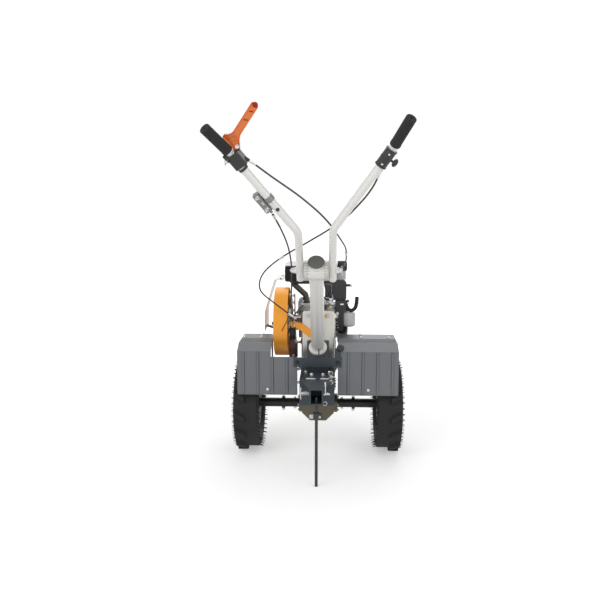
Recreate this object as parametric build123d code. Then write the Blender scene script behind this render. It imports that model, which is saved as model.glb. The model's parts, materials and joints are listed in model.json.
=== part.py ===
from build123d import *

import math
import os

# Hand tractor, in millimetres: +X right, +Y forward, +Z up, laid out from the middle of the axle.

# Clearances
CONTACT_GAP = 0.3
RUNNING_GAP = 0.05

# Wheels
TYRE_RADIUS = 210.0
LUG_HEIGHT = 16.0
LUG_COUNT = 15
LUG_THICK = 27.0
LUG_SWEEP = 30.0
LUG_TAPER = 9.0
LUG_OVERLAP = 8.0
TREAD_WIDTH = 96.0
TYRE_WIDTH = 106.0
TYRE_BEAD_RADIUS = 102.0
SHOULDER_DROP = 16.0
WHEEL_X = 309.0
RIM_FLANGE = 10.0
RIM_SHEET = 3.5
RIM_WELL_DEPTH = 12.0
RIM_SEAT_WIDTH = 72.0
RIM_LEDGE = 18.0
RIM_SLOPE = 6.0
DISC_HOLE_RADIUS = 16.0
DISC_HOLE_PITCH = 62.0
DISC_HOLES = 4
AXLE_TUBE_RADIUS = 20.0
HUB_WALL = 12.0
HUB_LENGTH = 34.0
HALF_SHAFT_RADIUS = 15.0
AXLE_COLLAR_WALL = 7.0
AXLE_COLLAR_LENGTH = 14.0
AXLE_COLLAR_AT = 150.0
AXLE_END_GAP = 1.2

# Gearbox
CASE_WIDTH = 142.0
CASE_BACK = -110.0
CASE_FRONT = 20.0
LOWER_FRONT = 60.0
CASE_TOP = 433.0
CASE_SPLIT = 90.0
CASE_BOTTOM = -50.0
CASE_CORNER = 14.0
CASE_EDGE = 7.0
CASE_FLANGE = 5.0
CASE_FLANGE_HEIGHT = 12.0
LOWER_INSET = 2.0
LOWER_CHAMFER = 34.0
LOWER_FOOT_WIDTH = 70.0
RIB_COUNT = 5
RIB_THICK = 6.0
RIB_DEPTH = 6.0
BEARING_WALL = 27.0
BEARING_LENGTH = 14.0

# Fenders
FENDER_SHEET = 2.5
FENDER_CASE_GAP = 13.0
FENDER_REACH = 27.0
FENDER_LOW = 95.0
FENDER_TYRE_GAP = 20.0
FENDER_PANEL = 185.0
FENDER_BEVEL_DEPTH = 57.0
FENDER_BEVEL_RISE = 26.0
FENDER_FRONT = 45.0
FENDER_NOSE_LENGTH = 105.0
FENDER_NOSE_DROP = 54.0
FENDER_RIB_HALF = 7.0
FENDER_RIB_HEIGHT = 4.0
FENDER_RIB_COUNT = 4
FENDER_RIB_PITCH = 61.0
FENDER_RIB_EDGE = 25.0
FENDER_RIB_END = 5.0
FENDER_CREASE_PITCH = 24.0
FENDER_CREASES = 3
FENDER_ARM_WIDTH = 30.0
FENDER_ARM_THICK = 5.0
FENDER_ARM_Y = -60.0
FENDER_ARM_GAP = 18.0
FENDER_ARM_LOW = 185.0
FENDER_ARM_PAD = 40.0
NOTCH_DEPTH = 50.0
NOTCH_GAP = 8.0

# Hitch bracket and steering column
BRACKET_WIDTH = 92.0
BRACKET_SEAT = 7.0
CROSS_PLATE_WIDTH = 200.0
CROSS_PLATE_HEIGHT = 40.0
CROSS_PLATE_RAISE = 21.0
CROSS_PLATE_THICK = 8.0
UPRIGHT_WIDTH = 25.0
UPRIGHT_EDGE = 4.0
UPRIGHT_HEIGHT = 80.0
COLUMN_TILT = 44.0
COLUMN_INSET = 50.0
COLUMN_RAISE = 87.0
COLUMN_RADIUS = 27.0
COLUMN_WALL = 3.5
COLUMN_LENGTH = 548.0
CAP_LIP = 3.0
CAP_THICK = 7.0
COLLAR_LIP = 11.0
COLLAR_THICK = 12.0

# Hitch box
HITCH_WIDTH = 140.0
HITCH_TOP = 194.0
HITCH_HEIGHT = 107.0
HITCH_LENGTH = 345.0
HITCH_NARROW_LENGTH = 125.0
HITCH_WALL = 8.0
SOCKET_WIDTH = 42.0
SOCKET_HEIGHT = 56.0
SOCKET_WALL = 6.0
SOCKET_DEPTH = 105.0
PIN_RADIUS = 4.5
PIN_INSET = 18.0
PIN_EDGE = 16.0
PIN_HEAD = 4.5
PIN_SHOWS = 14.0
SCREW_RADIUS = 5.0
SCREW_INSET = 50.0
SCREW_SHOWS = 34.0
SCREW_BAR = 46.0
SCREW_BAR_RADIUS = 3.5

# Depth rod
ROD_RADIUS = 6.0
ROD_INSET = 25.0
ROD_ENGAGED = 20.0
ROD_TRAVEL = 30.0
ROD_COLLAR_WALL = 7.0
ROD_COLLAR_HEIGHT = 22.0
ROD_STOP_GAP = 6.0
ROD_WING_REACH = 24.0
ROD_WING_THICK = 4.0

# Handlebar
PIVOT_FROM_END = 43.0
DISC_RADIUS = 37.0
DISC_THICK = 12.0
DISC_TEETH = 24
DISC_TOOTH_RADIUS = 2.5
HANDLE_RADIUS = 14.0
HANDLE_WALL = 2.5
HANDLE_GAP = 18.0
HANDLE_TAIL = 48.0
HANDLE_LOWER = 197.0
BEND_RADIUS = 60.0
ROOT_X = 252.0
ROOT_SHIFT = 9.0
ROOT_OUT_Y = -150.0
ROOT_UP = 247.0
GRIP_LENGTH = 120.0
GRIP_AIM = (57.0, -80.0, 72.0)
GRIP_SHIFT = 13.0
GRIP_WALL = 3.5
GRIP_SETBACK = 15.0
GRIP_END_WALL = 5.0
RIGHT_RAISE = 3.6
CLAMP_BOLT_RADIUS = 6.0
CLAMP_NUT_RADIUS = 11.0
CLAMP_NUT_THICK = 9.0
HOUSING_SIDE = 44.0
HOUSING_CORNER = 6.0
HOUSING_RISE = 8.0
HOUSING_LENGTH = 50.0
HOUSING_AT = 6.0
LEVER_LEAN = 19.0
LEVER_THICK = 14.0
LEVER_CORNER = 4.0
LEVER_OUTLINE = (
    (-31.0, 42.0), (-43.0, 54.0), (-37.0, 64.0), (-14.0, 64.0),
    (57.0, 164.0), (77.0, 150.0), (10.0, 56.0), (10.0, -8.0),
)
THROTTLE_WALL = 5.0
THROTTLE_LENGTH = 60.0
THROTTLE_AT = 5.0
STEM_RADIUS = 4.0
PADDLE_REACH = 34.0
PADDLE_HALF_WIDTH = 8.0
PADDLE_HALF_HEIGHT = 14.0
PADDLE_THICK = 5.0
STEEL_LEVER_AT = 192.0
STEEL_LEVER_LENGTH = 76.0
STEEL_LEVER_WIDTH = 22.0
STEEL_LEVER_WALL = 2.5
STEEL_LEVER_SLOTS = 3
STEEL_SLOT_HALF = 7.0
STEEL_BAND = 3.0
STEEL_BAND_LENGTH = 18.0

# Control cables, each from the handlebar to the machine, as routes of (x, y, z)
CABLE_RADIUS = 3.0
CABLE_ARC_SHARE = 0.45
GLAND_RADIUS = 5.0
GLAND_LENGTH = 14.0
CLUTCH_CABLE = (
    (-208.0, -763.0, 1016.0), (-182.0, -748.0, 998.0), (-150.0, -735.0, 974.0), (-108.0, -716.0, 945.0),
    (-64.0, -694.0, 915.0), (-22.0, -669.0, 882.0), (20.0, -640.0, 845.0), (53.0, -603.0, 808.0),
    (78.0, -545.0, 771.0), (97.0, -465.0, 741.0), (109.0, -380.0, 719.0), (113.0, -295.0, 693.0),
    (115.0, -210.0, 665.0), (115.0, -125.0, 644.0), (112.0, -40.0, 627.0), (107.0, 48.0, 611.0),
    (104.0, 128.0, 603.0),
)
THROTTLE_CABLE = (
    (211.0, -712.0, 985.0), (197.0, -703.0, 952.0), (182.0, -690.0, 926.0), (164.0, -672.0, 901.0),
    (141.0, -648.0, 875.0), (108.0, -612.0, 839.0), (69.0, -572.0, 809.0), (23.0, -545.0, 779.0),
    (-14.0, -520.0, 757.0), (-50.0, -490.0, 735.0), (-80.0, -460.0, 718.0), (-119.0, -420.0, 694.0),
    (-146.0, -385.0, 675.0), (-175.0, -350.0, 653.0), (-209.0, -310.0, 622.0), (-232.0, -270.0, 584.0),
    (-237.0, -240.0, 546.0), (-224.0, -215.0, 519.0), (-195.0, -202.0, 494.0), (-165.0, -196.0, 470.0),
    (-135.0, -188.0, 446.0), (-104.0, -172.0, 420.0),
)
TENSION_CABLE = (
    (-141.0, -680.0, 846.0), (-129.0, -650.0, 821.0), (-117.0, -610.0, 791.0), (-106.0, -562.0, 757.0),
    (-99.0, -510.0, 722.0), (-96.0, -455.0, 686.0), (-96.0, -395.0, 646.0), (-99.0, -335.0, 605.0),
    (-103.0, -280.0, 562.0), (-108.0, -228.0, 514.0), (-112.0, -188.0, 467.0), (-117.0, -163.0, 436.0),
)

# Engine frame and bumper
FRAME_RAIL_X = 62.0
FRAME_RAIL_WIDTH = 30.0
FRAME_RAIL_HEIGHT = 24.0
FRAME_RAIL_WALL = 4.0
FRAME_TOP = 270.0
FRAME_FRONT = 345.0
BOLT_HOLE_RADIUS = 5.5
BOLT_HOLE_PITCH = 50.0
BUMPER_RADIUS = 12.0
BUMPER_RISE = 130.0
BUMPER_REACH = 60.0

# Engine
CRANK_Y = 200.0
CRANK_RISE = 80.0
BLOCK_LEFT = -95.0
BLOCK_RIGHT = 88.0
BLOCK_BEHIND = 72.0
BLOCK_AHEAD = 82.0
BLOCK_HEIGHT = 150.0
BLOCK_CORNER = 16.0
BARREL_RADIUS = 40.0
BARREL_X = -30.0
BARREL_RISE = 50.0
BARREL_LENGTH = 72.0
FIN_COUNT = 8
FIN_THICK = 3.0
FIN_HALF = 64.0
FIN_CORNER = 16.0
HEAD_DEPTH = 24.0
HEAD_HALF = 50.0
HEAD_CORNER = 12.0
TANK_LEFT = -160.0
TANK_RIGHT = 84.0
TANK_LENGTH = 164.0
TANK_RISE = 122.0
TANK_HEIGHT = 76.0
TANK_CORNER = 24.0
TANK_TOP_CORNER = 12.0
NECK_RADIUS = 19.0
NECK_OUT = 21.0
NECK_INSET = 48.0
FUEL_CAP_WALL = 3.0
FUEL_CAP_RISE = 10.0
FUEL_CAP_HEIGHT = 46.0
FUEL_CAP_CORNER = 5.5
BRACKET_BAR = 20.0
SHELF_THICK = 8.0
MUFFLER_WIDTH = 54.0
MUFFLER_DEPTH = 68.0
MUFFLER_HEIGHT = 71.0
MUFFLER_OUT = -7.0
MUFFLER_CLEARANCE = 4.0
MUFFLER_UNDER = 5.0
MUFFLER_CORNER = 9.0
SLOT_COUNT = 5
SLOT_HEIGHT = 6.0
SLOT_DEPTH = 5.0
PIPE_RADIUS = 13.0
PIPE_INSET = 2.0
PIPE_DROP = 14.0
PIPE_RISE = 34.0
PIPE_PORT_INSET = 22.0
PIPE_BEND = 14.3
FILTER_LEFT = 60.0
FILTER_WIDTH = 62.0
FILTER_OUT = 44.0
FILTER_DEPTH = 96.0
FILTER_HEIGHT = 84.0
FILTER_CLEARANCE = 2.0
FILTER_CORNER = 9.0
KNOB_RADIUS = 6.0
KNOB_LENGTH = 28.0
KNOB_INSET = 18.0
CARB_RADIUS = 18.0
CARB_OUT = 14.0
CARB_RISE = 38.0
CARB_HEIGHT = 40.0
CARB_LINK_RADIUS = 9.0
CUP_RADIUS = 29.0
CUP_HEIGHT = 61.0
CUP_DROP = 58.0
CUP_OUT = 14.0
CUP_BEHIND = 2.0
CUP_CORNER = 9.5
HOSE_RADIUS = 8.5
HOSE_WALL = 2.5
HOSE_ROUTE = ((-4.0, 19.0), (12.0, 46.5), (28.0, 49.0), (43.0, 36.0), (48.0, 10.0), (49.0, -14.0))
HOSE_Y_OFFSET = 8.0
DUCT_LEFT = 73.6
DUCT_WIDTH = 50.0
DUCT_NARROW_WIDTH = 38.0
DUCT_DEPTH = 50.0
DUCT_BEHIND = 22.0
DUCT_HEIGHT = 52.0
DUCT_BOTTOM = 317.0
DUCT_CORNER = 5.0
DUCT_FOOT_HEIGHT = 40.0
RAIL_BAR_LEFT = -101.0
RAIL_BAR_BACK = 104.0
RAIL_BAR_DEPTH = 34.0
RAIL_BAR_HEIGHT = 15.0
CABLE_TAB_HALF = 6.0
CABLE_TAB_THICK = 10.0
STARTER_RADIUS = 84.0
STARTER_DEPTH = 46.0
STARTER_DOME = 18.0
GRILLE_SLOTS = 12
GRILLE_SLOT_WIDTH = 6.0
GRILLE_DEPTH = 4.0
GRILLE_INNER = 28.0
GRILLE_OUTER = 60.0

# Belt drive
PULLEY_CENTRE_Y = -20.0
PULLEY_RAISE = 25.0
BIG_PULLEY_RADIUS = 120.0
SMALL_PULLEY_RADIUS = 50.0
PULLEY_WIDTH = 22.0
PULLEY_OUT = 95.0
GROOVE_DEPTH = 9.0
GROOVE_WALL = 3.0
BELT_THICK = 8.0
SHAFT_RADIUS = 12.0
SPOKE_COUNT = 4
ROLLER_RADIUS = 18.0
ROLLER_PIN_RADIUS = 6.0
ROLLER_FROM_CRANK = 78.0
GUARD_RIM = 30.0
GUARD_SHEET = 2.5
GUARD_OUTER_SPACE = 21.0
GUARD_INNER_SPACE = 15.0
GUARD_SMALL_RIM = 28.0
STAY_LAP = 20.0
STAY_Y = 115.0
COVER_WIDTH = 60.0
COVER_SHOULDER = 15.0
COVER_FLANGE = 24.0
COVER_BEHIND = 138.0
COVER_AHEAD = 62.0
COVER_BELOW = 35.0
COVER_KNEE = 53.0
COVER_ABOVE = 201.0
COVER_SHEET = 3.0
COVER_BAR_WIDTH = 26.0
COVER_BAR_THICK = 8.0
COVER_BAR_RAISE = 5.0
COVER_BAR_DROP = 18.0
BRACE_WIDTH = 28.0
BRACE_THICK = 8.0
BRACE_OUT = 5.0
BRACE_BEND_X = -80.0
BRACE_END_X = -27.0
BRACE_DROP = 45.0
BRACE_BEND_RADIUS = 60.0
TENSION_SHAFT_RADIUS = 10.5
TENSION_SHAFT_Y = -60.0
TENSION_SHAFT_Z = 400.0
TENSION_SHAFT_REACH = 54.0
TENSION_ARM_THICK = 5.0
TENSION_ARM_BACK = 90.0
TENSION_ARM_RISE = 24.0
TENSION_ARM_ROOT = 15.0
TENSION_ARM_TIP = 9.0

# Places that follow from those sizes
CASE_HALF = CASE_WIDTH / 2
HUB_RADIUS = AXLE_TUBE_RADIUS + HUB_WALL
TYRE_CHORD = math.sqrt(TYRE_RADIUS ** 2 - FENDER_LOW ** 2)
FENDER_INNER = CASE_HALF + FENDER_CASE_GAP
FENDER_OUTER = WHEEL_X + FENDER_REACH
FENDER_BACK = -TYRE_CHORD - FENDER_TYRE_GAP
FENDER_FOLD = FENDER_LOW + FENDER_PANEL
FENDER_TOP = FENDER_FOLD + FENDER_BEVEL_RISE
FENDER_BEVEL_END = FENDER_BACK + FENDER_BEVEL_DEPTH
FENDER_NOSE = FENDER_FRONT + FENDER_NOSE_LENGTH
FENDER_NOSE_Z = FENDER_TOP - FENDER_NOSE_DROP
NOTCH_Z = FENDER_TOP - NOTCH_DEPTH
BRACKET_BACK = FENDER_BACK + BRACKET_SEAT
BRACKET_BOTTOM = HITCH_TOP
CROSS_PLATE_BOTTOM = HITCH_TOP + CROSS_PLATE_RAISE
COLUMN_BASE_Y = BRACKET_BACK + COLUMN_INSET
COLUMN_BASE_Z = HITCH_TOP + COLUMN_RAISE
COLLAR_RADIUS = COLUMN_RADIUS + COLLAR_LIP
HITCH_BOTTOM = HITCH_TOP - HITCH_HEIGHT
HITCH_END = CASE_BACK - HITCH_LENGTH
HITCH_NARROW_FROM = HITCH_END + HITCH_NARROW_LENGTH
SOCKET_FROM = HITCH_END + SOCKET_DEPTH
SOCKET_ROOF = HITCH_TOP - HITCH_WALL
SOCKET_FLOOR = SOCKET_ROOF - SOCKET_HEIGHT
PIN_Y = HITCH_NARROW_FROM + PIN_INSET
SCREW_Y = HITCH_END + SCREW_INSET
ROD_Y = HITCH_END + ROD_INSET
PIVOT_ALONG = COLUMN_LENGTH - PIVOT_FROM_END
DISC_SPLIT = COLUMN_RADIUS + DISC_THICK
HANDLE_X = COLUMN_RADIUS + HANDLE_GAP + HANDLE_RADIUS
HANDLE_DISC_FACE = HANDLE_X - HANDLE_RADIUS
GRIP_RADIUS = HANDLE_RADIUS + GRIP_WALL
THROTTLE_RADIUS = HANDLE_RADIUS + THROTTLE_WALL
CRANK_Z = FRAME_TOP + CRANK_RISE
BLOCK_TOP = FRAME_TOP + BLOCK_HEIGHT
BLOCK_BACK = CRANK_Y - BLOCK_BEHIND
BLOCK_FRONT = CRANK_Y + BLOCK_AHEAD
BARREL_Z = CRANK_Z + BARREL_RISE
BARREL_BACK = BLOCK_BACK - BARREL_LENGTH
TANK_BACK = BLOCK_BACK
TANK_FRONT = TANK_BACK + TANK_LENGTH
TANK_BOTTOM = BLOCK_TOP + TANK_RISE
TANK_TOP = TANK_BOTTOM + TANK_HEIGHT
NECK_X = TANK_RIGHT + NECK_OUT
NECK_Y = TANK_BACK + NECK_INSET
FUEL_CAP_RADIUS = NECK_RADIUS + FUEL_CAP_WALL
FUEL_CAP_TOP = TANK_TOP + FUEL_CAP_RISE
MUFFLER_LEFT = TANK_LEFT - MUFFLER_OUT
MUFFLER_RIGHT = MUFFLER_LEFT + MUFFLER_WIDTH
MUFFLER_FRONT = TANK_BACK - MUFFLER_CLEARANCE
MUFFLER_BACK = MUFFLER_FRONT - MUFFLER_DEPTH
MUFFLER_TOP = TANK_TOP - MUFFLER_UNDER
MUFFLER_BOTTOM = MUFFLER_TOP - MUFFLER_HEIGHT
FILTER_RIGHT = FILTER_LEFT + FILTER_WIDTH
FILTER_BACK = BLOCK_BACK - FILTER_OUT
FILTER_FRONT = FILTER_BACK + FILTER_DEPTH
FILTER_TOP = TANK_BOTTOM - FILTER_CLEARANCE
FILTER_BOTTOM = FILTER_TOP - FILTER_HEIGHT
CARB_X = BARREL_X + FIN_HALF + CARB_OUT
CARB_Y = FILTER_BACK
THROAT_Z = BARREL_Z + CARB_RISE
CUP_X = FILTER_RIGHT + CUP_OUT
CUP_Y = FILTER_BACK - CUP_BEHIND
CUP_TOP = FILTER_BOTTOM - CUP_DROP
CUP_BOTTOM = CUP_TOP - CUP_HEIGHT
DUCT_RIGHT = DUCT_LEFT + DUCT_WIDTH
DUCT_NECK = DUCT_LEFT + DUCT_NARROW_WIDTH
DUCT_BACK = FILTER_BACK - DUCT_BEHIND
PULLEY_CENTRE_Z = CRANK_Z + PULLEY_RAISE
PULLEY_LEFT = -CASE_HALF - PULLEY_OUT
PULLEY_RIGHT = PULLEY_LEFT + PULLEY_WIDTH
GUARD_LEFT = PULLEY_LEFT - GUARD_OUTER_SPACE
GUARD_RIGHT = PULLEY_RIGHT + GUARD_INNER_SPACE
FENDER_ARM_X = FENDER_ARM_GAP - GUARD_LEFT
COVER_LEFT = GUARD_LEFT - COVER_WIDTH
COVER_BACK = CRANK_Y - COVER_BEHIND
COVER_FRONT = CRANK_Y + COVER_AHEAD
COVER_BOTTOM = CRANK_Z - COVER_BELOW
COVER_TOP = CRANK_Z + COVER_ABOVE
BRACE_END_Z = PULLEY_CENTRE_Z - BRACE_DROP


def block(x0, x1, y0, y1, z0, z1):
    return Pos((x0 + x1) / 2, (y0 + y1) / 2, (z0 + z1) / 2) * Box(x1 - x0, y1 - y0, z1 - z0)


def rod_x(radius, x0, x1, y, z):
    return Pos((x0 + x1) / 2, y, z) * Rot(0, 90, 0) * Cylinder(radius, x1 - x0)


def rod_y(radius, y0, y1, x, z):
    return Pos(x, (y0 + y1) / 2, z) * Rot(90, 0, 0) * Cylinder(radius, y1 - y0)


def rod_z(radius, z0, z1, x, y):
    return Pos(x, y, (z0 + z1) / 2) * Cylinder(radius, z1 - z0)


def side_prism(points, x0, x1):
    """Extrudes an outline of (y, z) points from x0 to x1."""
    return extrude(Plane.YZ.offset(x0) * Polygon(*points, align=None), x1 - x0, dir=(1, 0, 0))


def plan_prism(points, z0, z1):
    """Extrudes an outline of (x, y) points from z0 to z1."""
    return extrude(Plane.XY.offset(z0) * Polygon(*points, align=None), z1 - z0, dir=(0, 0, 1))


def back_prism(points, y0, y1):
    """Extrudes an outline of (x, z) points from y0 to y1."""
    return extrude(Plane.XZ.offset(-y0) * Polygon(*points, align=None), y1 - y0, dir=(0, 1, 0))


def rod_between(radius, start, end):
    path = Vector(*end) - Vector(*start)
    frame = Plane(origin=start, z_dir=path)
    return extrude(frame * Circle(radius), path.length)


def bent_rod(radius, points, bends, bore=0.0):
    path = FilletPolyline(*points, radius=bends)
    section = Circle(radius)
    if bore:
        section -= Circle(bore)
    return sweep(Plane(origin=path @ 0, z_dir=path % 0) * section, path=path)


def mirrored(shape):
    return mirror(shape, about=Plane.YZ)


# Column line: places are given along it from its base
TILT = math.radians(COLUMN_TILT)
COLUMN_DIRECTION = Vector(0, -math.sin(TILT), math.cos(TILT))
COLUMN_BASE = Vector(0, COLUMN_BASE_Y, COLUMN_BASE_Z)


def on_column(along, x=0.0):
    return COLUMN_BASE + COLUMN_DIRECTION * along + Vector(x, 0, 0)


PIVOT = on_column(PIVOT_ALONG)
BEND = on_column(PIVOT_ALONG + HANDLE_LOWER, HANDLE_X)


# A side is 1 for the right and -1 for the left; both are laid out as right-hand forms
def root(side):
    """Where a grip's straight begins; the whole handlebar is swung a little to the left."""
    return Vector(ROOT_X - side * ROOT_SHIFT, BEND.Y + ROOT_OUT_Y, BEND.Z + ROOT_UP)


def upper_direction(side):
    return (root(side) - BEND).normalized()


def grip_direction(side):
    return Vector(GRIP_AIM[0] - side * GRIP_SHIFT, GRIP_AIM[1], GRIP_AIM[2]).normalized()



# Wheels

def lug(side):
    """One field lug, swept back from the tread's middle to a shoulder."""
    half = TREAD_WIDTH / 2
    footprint = Polygon(
        (0, -LUG_THICK / 2),
        (side * half, LUG_SWEEP - LUG_THICK / 2),
        (side * half, LUG_SWEEP + LUG_THICK / 2),
        (0, LUG_THICK / 2),
        align=None,
    )
    base = Plane.XY.offset(TYRE_RADIUS - LUG_HEIGHT - LUG_OVERLAP)
    return extrude(base * footprint, LUG_HEIGHT + 2 * LUG_OVERLAP, taper=LUG_TAPER)


def tyre():
    """Right tyre about its own centre, with its axle along X."""
    carcass = TYRE_RADIUS - LUG_HEIGHT
    half = TYRE_WIDTH / 2
    outline = Polyline(
        (RIM_SEAT_WIDTH / 2, TYRE_BEAD_RADIUS),
        (RIM_SEAT_WIDTH / 2, TYRE_BEAD_RADIUS + RIM_FLANGE),
        (half, TYRE_BEAD_RADIUS + RIM_FLANGE + SHOULDER_DROP),
        (half, carcass - SHOULDER_DROP),
        (TREAD_WIDTH / 2, carcass),
        (-TREAD_WIDTH / 2, carcass),
        (-half, carcass - SHOULDER_DROP),
        (-half, TYRE_BEAD_RADIUS + RIM_FLANGE + SHOULDER_DROP),
        (-RIM_SEAT_WIDTH / 2, TYRE_BEAD_RADIUS + RIM_FLANGE),
        (-RIM_SEAT_WIDTH / 2, TYRE_BEAD_RADIUS),
        close=True,
    )
    body = revolve(Plane.XZ * make_face(outline), Axis.X)
    step = 360 / LUG_COUNT
    lugs = []
    for index in range(LUG_COUNT):
        for side, phase in ((1, 0.0), (-1, 0.5)):
            lugs.append(Rot((index + phase) * step, 0, 0) * lug(side))
    envelope = Rot(0, 90, 0) * Cylinder(TYRE_RADIUS, TYRE_WIDTH)
    for piece in lugs:
        body = body + (piece & envelope)
    return body


def rim():
    """Right rim about its own centre: well, flanges, dished disc and hub in one."""
    half = RIM_SEAT_WIDTH / 2
    seat = TYRE_BEAD_RADIUS
    outer = seat + RIM_FLANGE
    well = seat - RIM_WELL_DEPTH
    ledge = half - RIM_LEDGE
    flat = ledge - RIM_SLOPE
    outline = Polyline(
        (-half - RIM_SHEET, outer),
        (-half - RIM_SHEET, seat - RIM_SHEET),
        (-ledge, seat - RIM_SHEET),
        (-flat, well - RIM_SHEET),
        (flat, well - RIM_SHEET),
        (ledge, seat - RIM_SHEET),
        (half + RIM_SHEET, seat - RIM_SHEET),
        (half + RIM_SHEET, outer),
        (half, outer),
        (half, seat),
        (ledge, seat),
        (flat, well),
        (-flat, well),
        (-ledge, seat),
        (-half, seat),
        (-half, outer),
        close=True,
    )
    ring = revolve(Plane.XZ * make_face(outline), Axis.X)
    disc = Rot(0, 90, 0) * Cylinder(well, RIM_SHEET)
    hub = Rot(0, 90, 0) * Cylinder(HUB_RADIUS, HUB_LENGTH)
    body = ring + disc + hub
    for index in range(DISC_HOLES):
        angle = (index + 0.5) * 360 / DISC_HOLES
        hole = Rot(angle, 0, 0) * Pos(0, 0, DISC_HOLE_PITCH) * Rot(0, 90, 0)
        body -= hole * Cylinder(DISC_HOLE_RADIUS, HUB_LENGTH)
    return body - Rot(0, 90, 0) * Cylinder(AXLE_TUBE_RADIUS, 2 * HUB_LENGTH)


def half_axle():
    """Right half axle: the shaft in the bearing boss and the tube out to the hub."""
    shoulder = CASE_HALF + BEARING_LENGTH + AXLE_END_GAP
    shaft = rod_x(HALF_SHAFT_RADIUS, CASE_HALF - BEARING_LENGTH, shoulder, 0, 0)
    tube = rod_x(AXLE_TUBE_RADIUS, shoulder, WHEEL_X + HUB_LENGTH / 2, 0, 0)
    collar_end = AXLE_COLLAR_AT + AXLE_COLLAR_LENGTH
    collar = rod_x(AXLE_TUBE_RADIUS + AXLE_COLLAR_WALL, AXLE_COLLAR_AT, collar_end, 0, 0)
    return shaft + tube + collar


# Gearbox

def gearbox_case():
    body = block(-CASE_HALF, CASE_HALF, CASE_BACK, CASE_FRONT, CASE_SPLIT, CASE_TOP)
    body = fillet(body.edges().filter_by(Axis.Y).group_by(Axis.Z)[-1], CASE_CORNER)
    body = fillet(body.edges().filter_by(Axis.Z), CASE_EDGE)
    flange = block(
        -CASE_HALF - CASE_FLANGE, CASE_HALF + CASE_FLANGE, CASE_BACK, LOWER_FRONT,
        CASE_SPLIT, CASE_SPLIT + CASE_FLANGE_HEIGHT,
    )
    return body + flange


def gearbox_lower_case():
    half = CASE_HALF - LOWER_INSET
    foot = LOWER_FOOT_WIDTH / 2
    knee = CASE_BOTTOM + LOWER_CHAMFER
    outline = [
        (-half, CASE_SPLIT),
        (-half, knee),
        (-foot, CASE_BOTTOM),
        (foot, CASE_BOTTOM),
        (half, knee),
        (half, CASE_SPLIT),
    ]
    body = back_prism(outline, CASE_BACK + RIB_DEPTH, LOWER_FRONT - RIB_DEPTH)
    pitch = (2 * half - RIB_THICK) / (RIB_COUNT - 1)
    for index in range(RIB_COUNT):
        x0 = -half + index * pitch
        body += block(x0, x0 + RIB_THICK, CASE_BACK, LOWER_FRONT, knee, CASE_SPLIT)
    for side in (-1, 1):
        x0, x1 = sorted((side * (half - RIB_DEPTH), side * (CASE_HALF + BEARING_LENGTH)))
        body += rod_x(HALF_SHAFT_RADIUS + BEARING_WALL, x0, x1, 0, 0)
        x0, x1 = sorted((side * (CASE_HALF - 2 * BEARING_LENGTH), side * (CASE_HALF + 2 * BEARING_LENGTH)))
        body -= rod_x(HALF_SHAFT_RADIUS + RUNNING_GAP, x0, x1, 0, 0)
    return body


# Hitch and column

def hitch_bracket():
    across = Vector(0, math.cos(TILT), math.sin(TILT))
    high = COLUMN_BASE + across * COLLAR_RADIUS
    low = COLUMN_BASE - across * COLLAR_RADIUS
    back = BRACKET_BACK
    points = [
        (CASE_BACK, BRACKET_BOTTOM),
        (CASE_BACK, high.Z),
        (high.Y, high.Z),
        (low.Y, low.Z),
        (back, low.Z - (low.Y - back)),
        (back, BRACKET_BOTTOM),
    ]
    return side_prism(points, -BRACKET_WIDTH / 2, BRACKET_WIDTH / 2)


def cross_plate():
    half = CROSS_PLATE_WIDTH / 2
    top = CROSS_PLATE_BOTTOM + CROSS_PLATE_HEIGHT
    plate = block(-half, half, FENDER_BACK - CROSS_PLATE_THICK, FENDER_BACK, CROSS_PLATE_BOTTOM, top)
    x1 = half - UPRIGHT_EDGE
    upright_top = CROSS_PLATE_BOTTOM + UPRIGHT_HEIGHT
    plate += block(
        x1 - UPRIGHT_WIDTH, x1, FENDER_BACK - CROSS_PLATE_THICK, FENDER_BACK,
        CROSS_PLATE_BOTTOM, upright_top,
    )
    half = BRACKET_WIDTH / 2
    top -= CROSS_PLATE_THICK
    return plate + block(-half, half, FENDER_BACK, BRACKET_BACK, CROSS_PLATE_BOTTOM, top)


def column():
    tube = Cylinder(COLUMN_RADIUS, COLUMN_LENGTH, align=(Align.CENTER, Align.CENTER, Align.MIN))
    bore = Cylinder(
        COLUMN_RADIUS - COLUMN_WALL, COLUMN_LENGTH, align=(Align.CENTER, Align.CENTER, Align.MIN)
    )
    collar = Cylinder(COLLAR_RADIUS, COLLAR_THICK, align=(Align.CENTER, Align.CENTER, Align.MIN))
    return Plane(origin=COLUMN_BASE, x_dir=(1, 0, 0), z_dir=COLUMN_DIRECTION) * (tube + collar - bore)


def column_cap():
    top = Plane(origin=on_column(COLUMN_LENGTH), x_dir=(1, 0, 0), z_dir=COLUMN_DIRECTION)
    cap = Cylinder(COLUMN_RADIUS + CAP_LIP, CAP_THICK, align=(Align.CENTER, Align.CENTER, Align.MIN))
    return top * fillet(cap.edges().group_by(Axis.Z)[-1], CAP_THICK / 2)


def toothed_disc(x0, x1):
    disc = rod_x(DISC_RADIUS, x0, x1, PIVOT.Y, PIVOT.Z)
    for index in range(DISC_TEETH):
        angle = math.radians(index * 360 / DISC_TEETH)
        y = PIVOT.Y + DISC_RADIUS * math.cos(angle)
        z = PIVOT.Z + DISC_RADIUS * math.sin(angle)
        disc -= rod_x(DISC_TOOTH_RADIUS, x0 - 1, x1 + 1, y, z)
    return disc


def column_head():
    """The two toothed discs welded to the column's sides."""
    line = Plane(origin=COLUMN_BASE, x_dir=(1, 0, 0), z_dir=COLUMN_DIRECTION)
    column_space = line * Cylinder(COLUMN_RADIUS, 2 * COLUMN_LENGTH)
    right = toothed_disc(0, DISC_SPLIT) - column_space
    right = right.solids().sort_by(Axis.X)[-1]
    return Compound([right, mirrored(right)])


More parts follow.
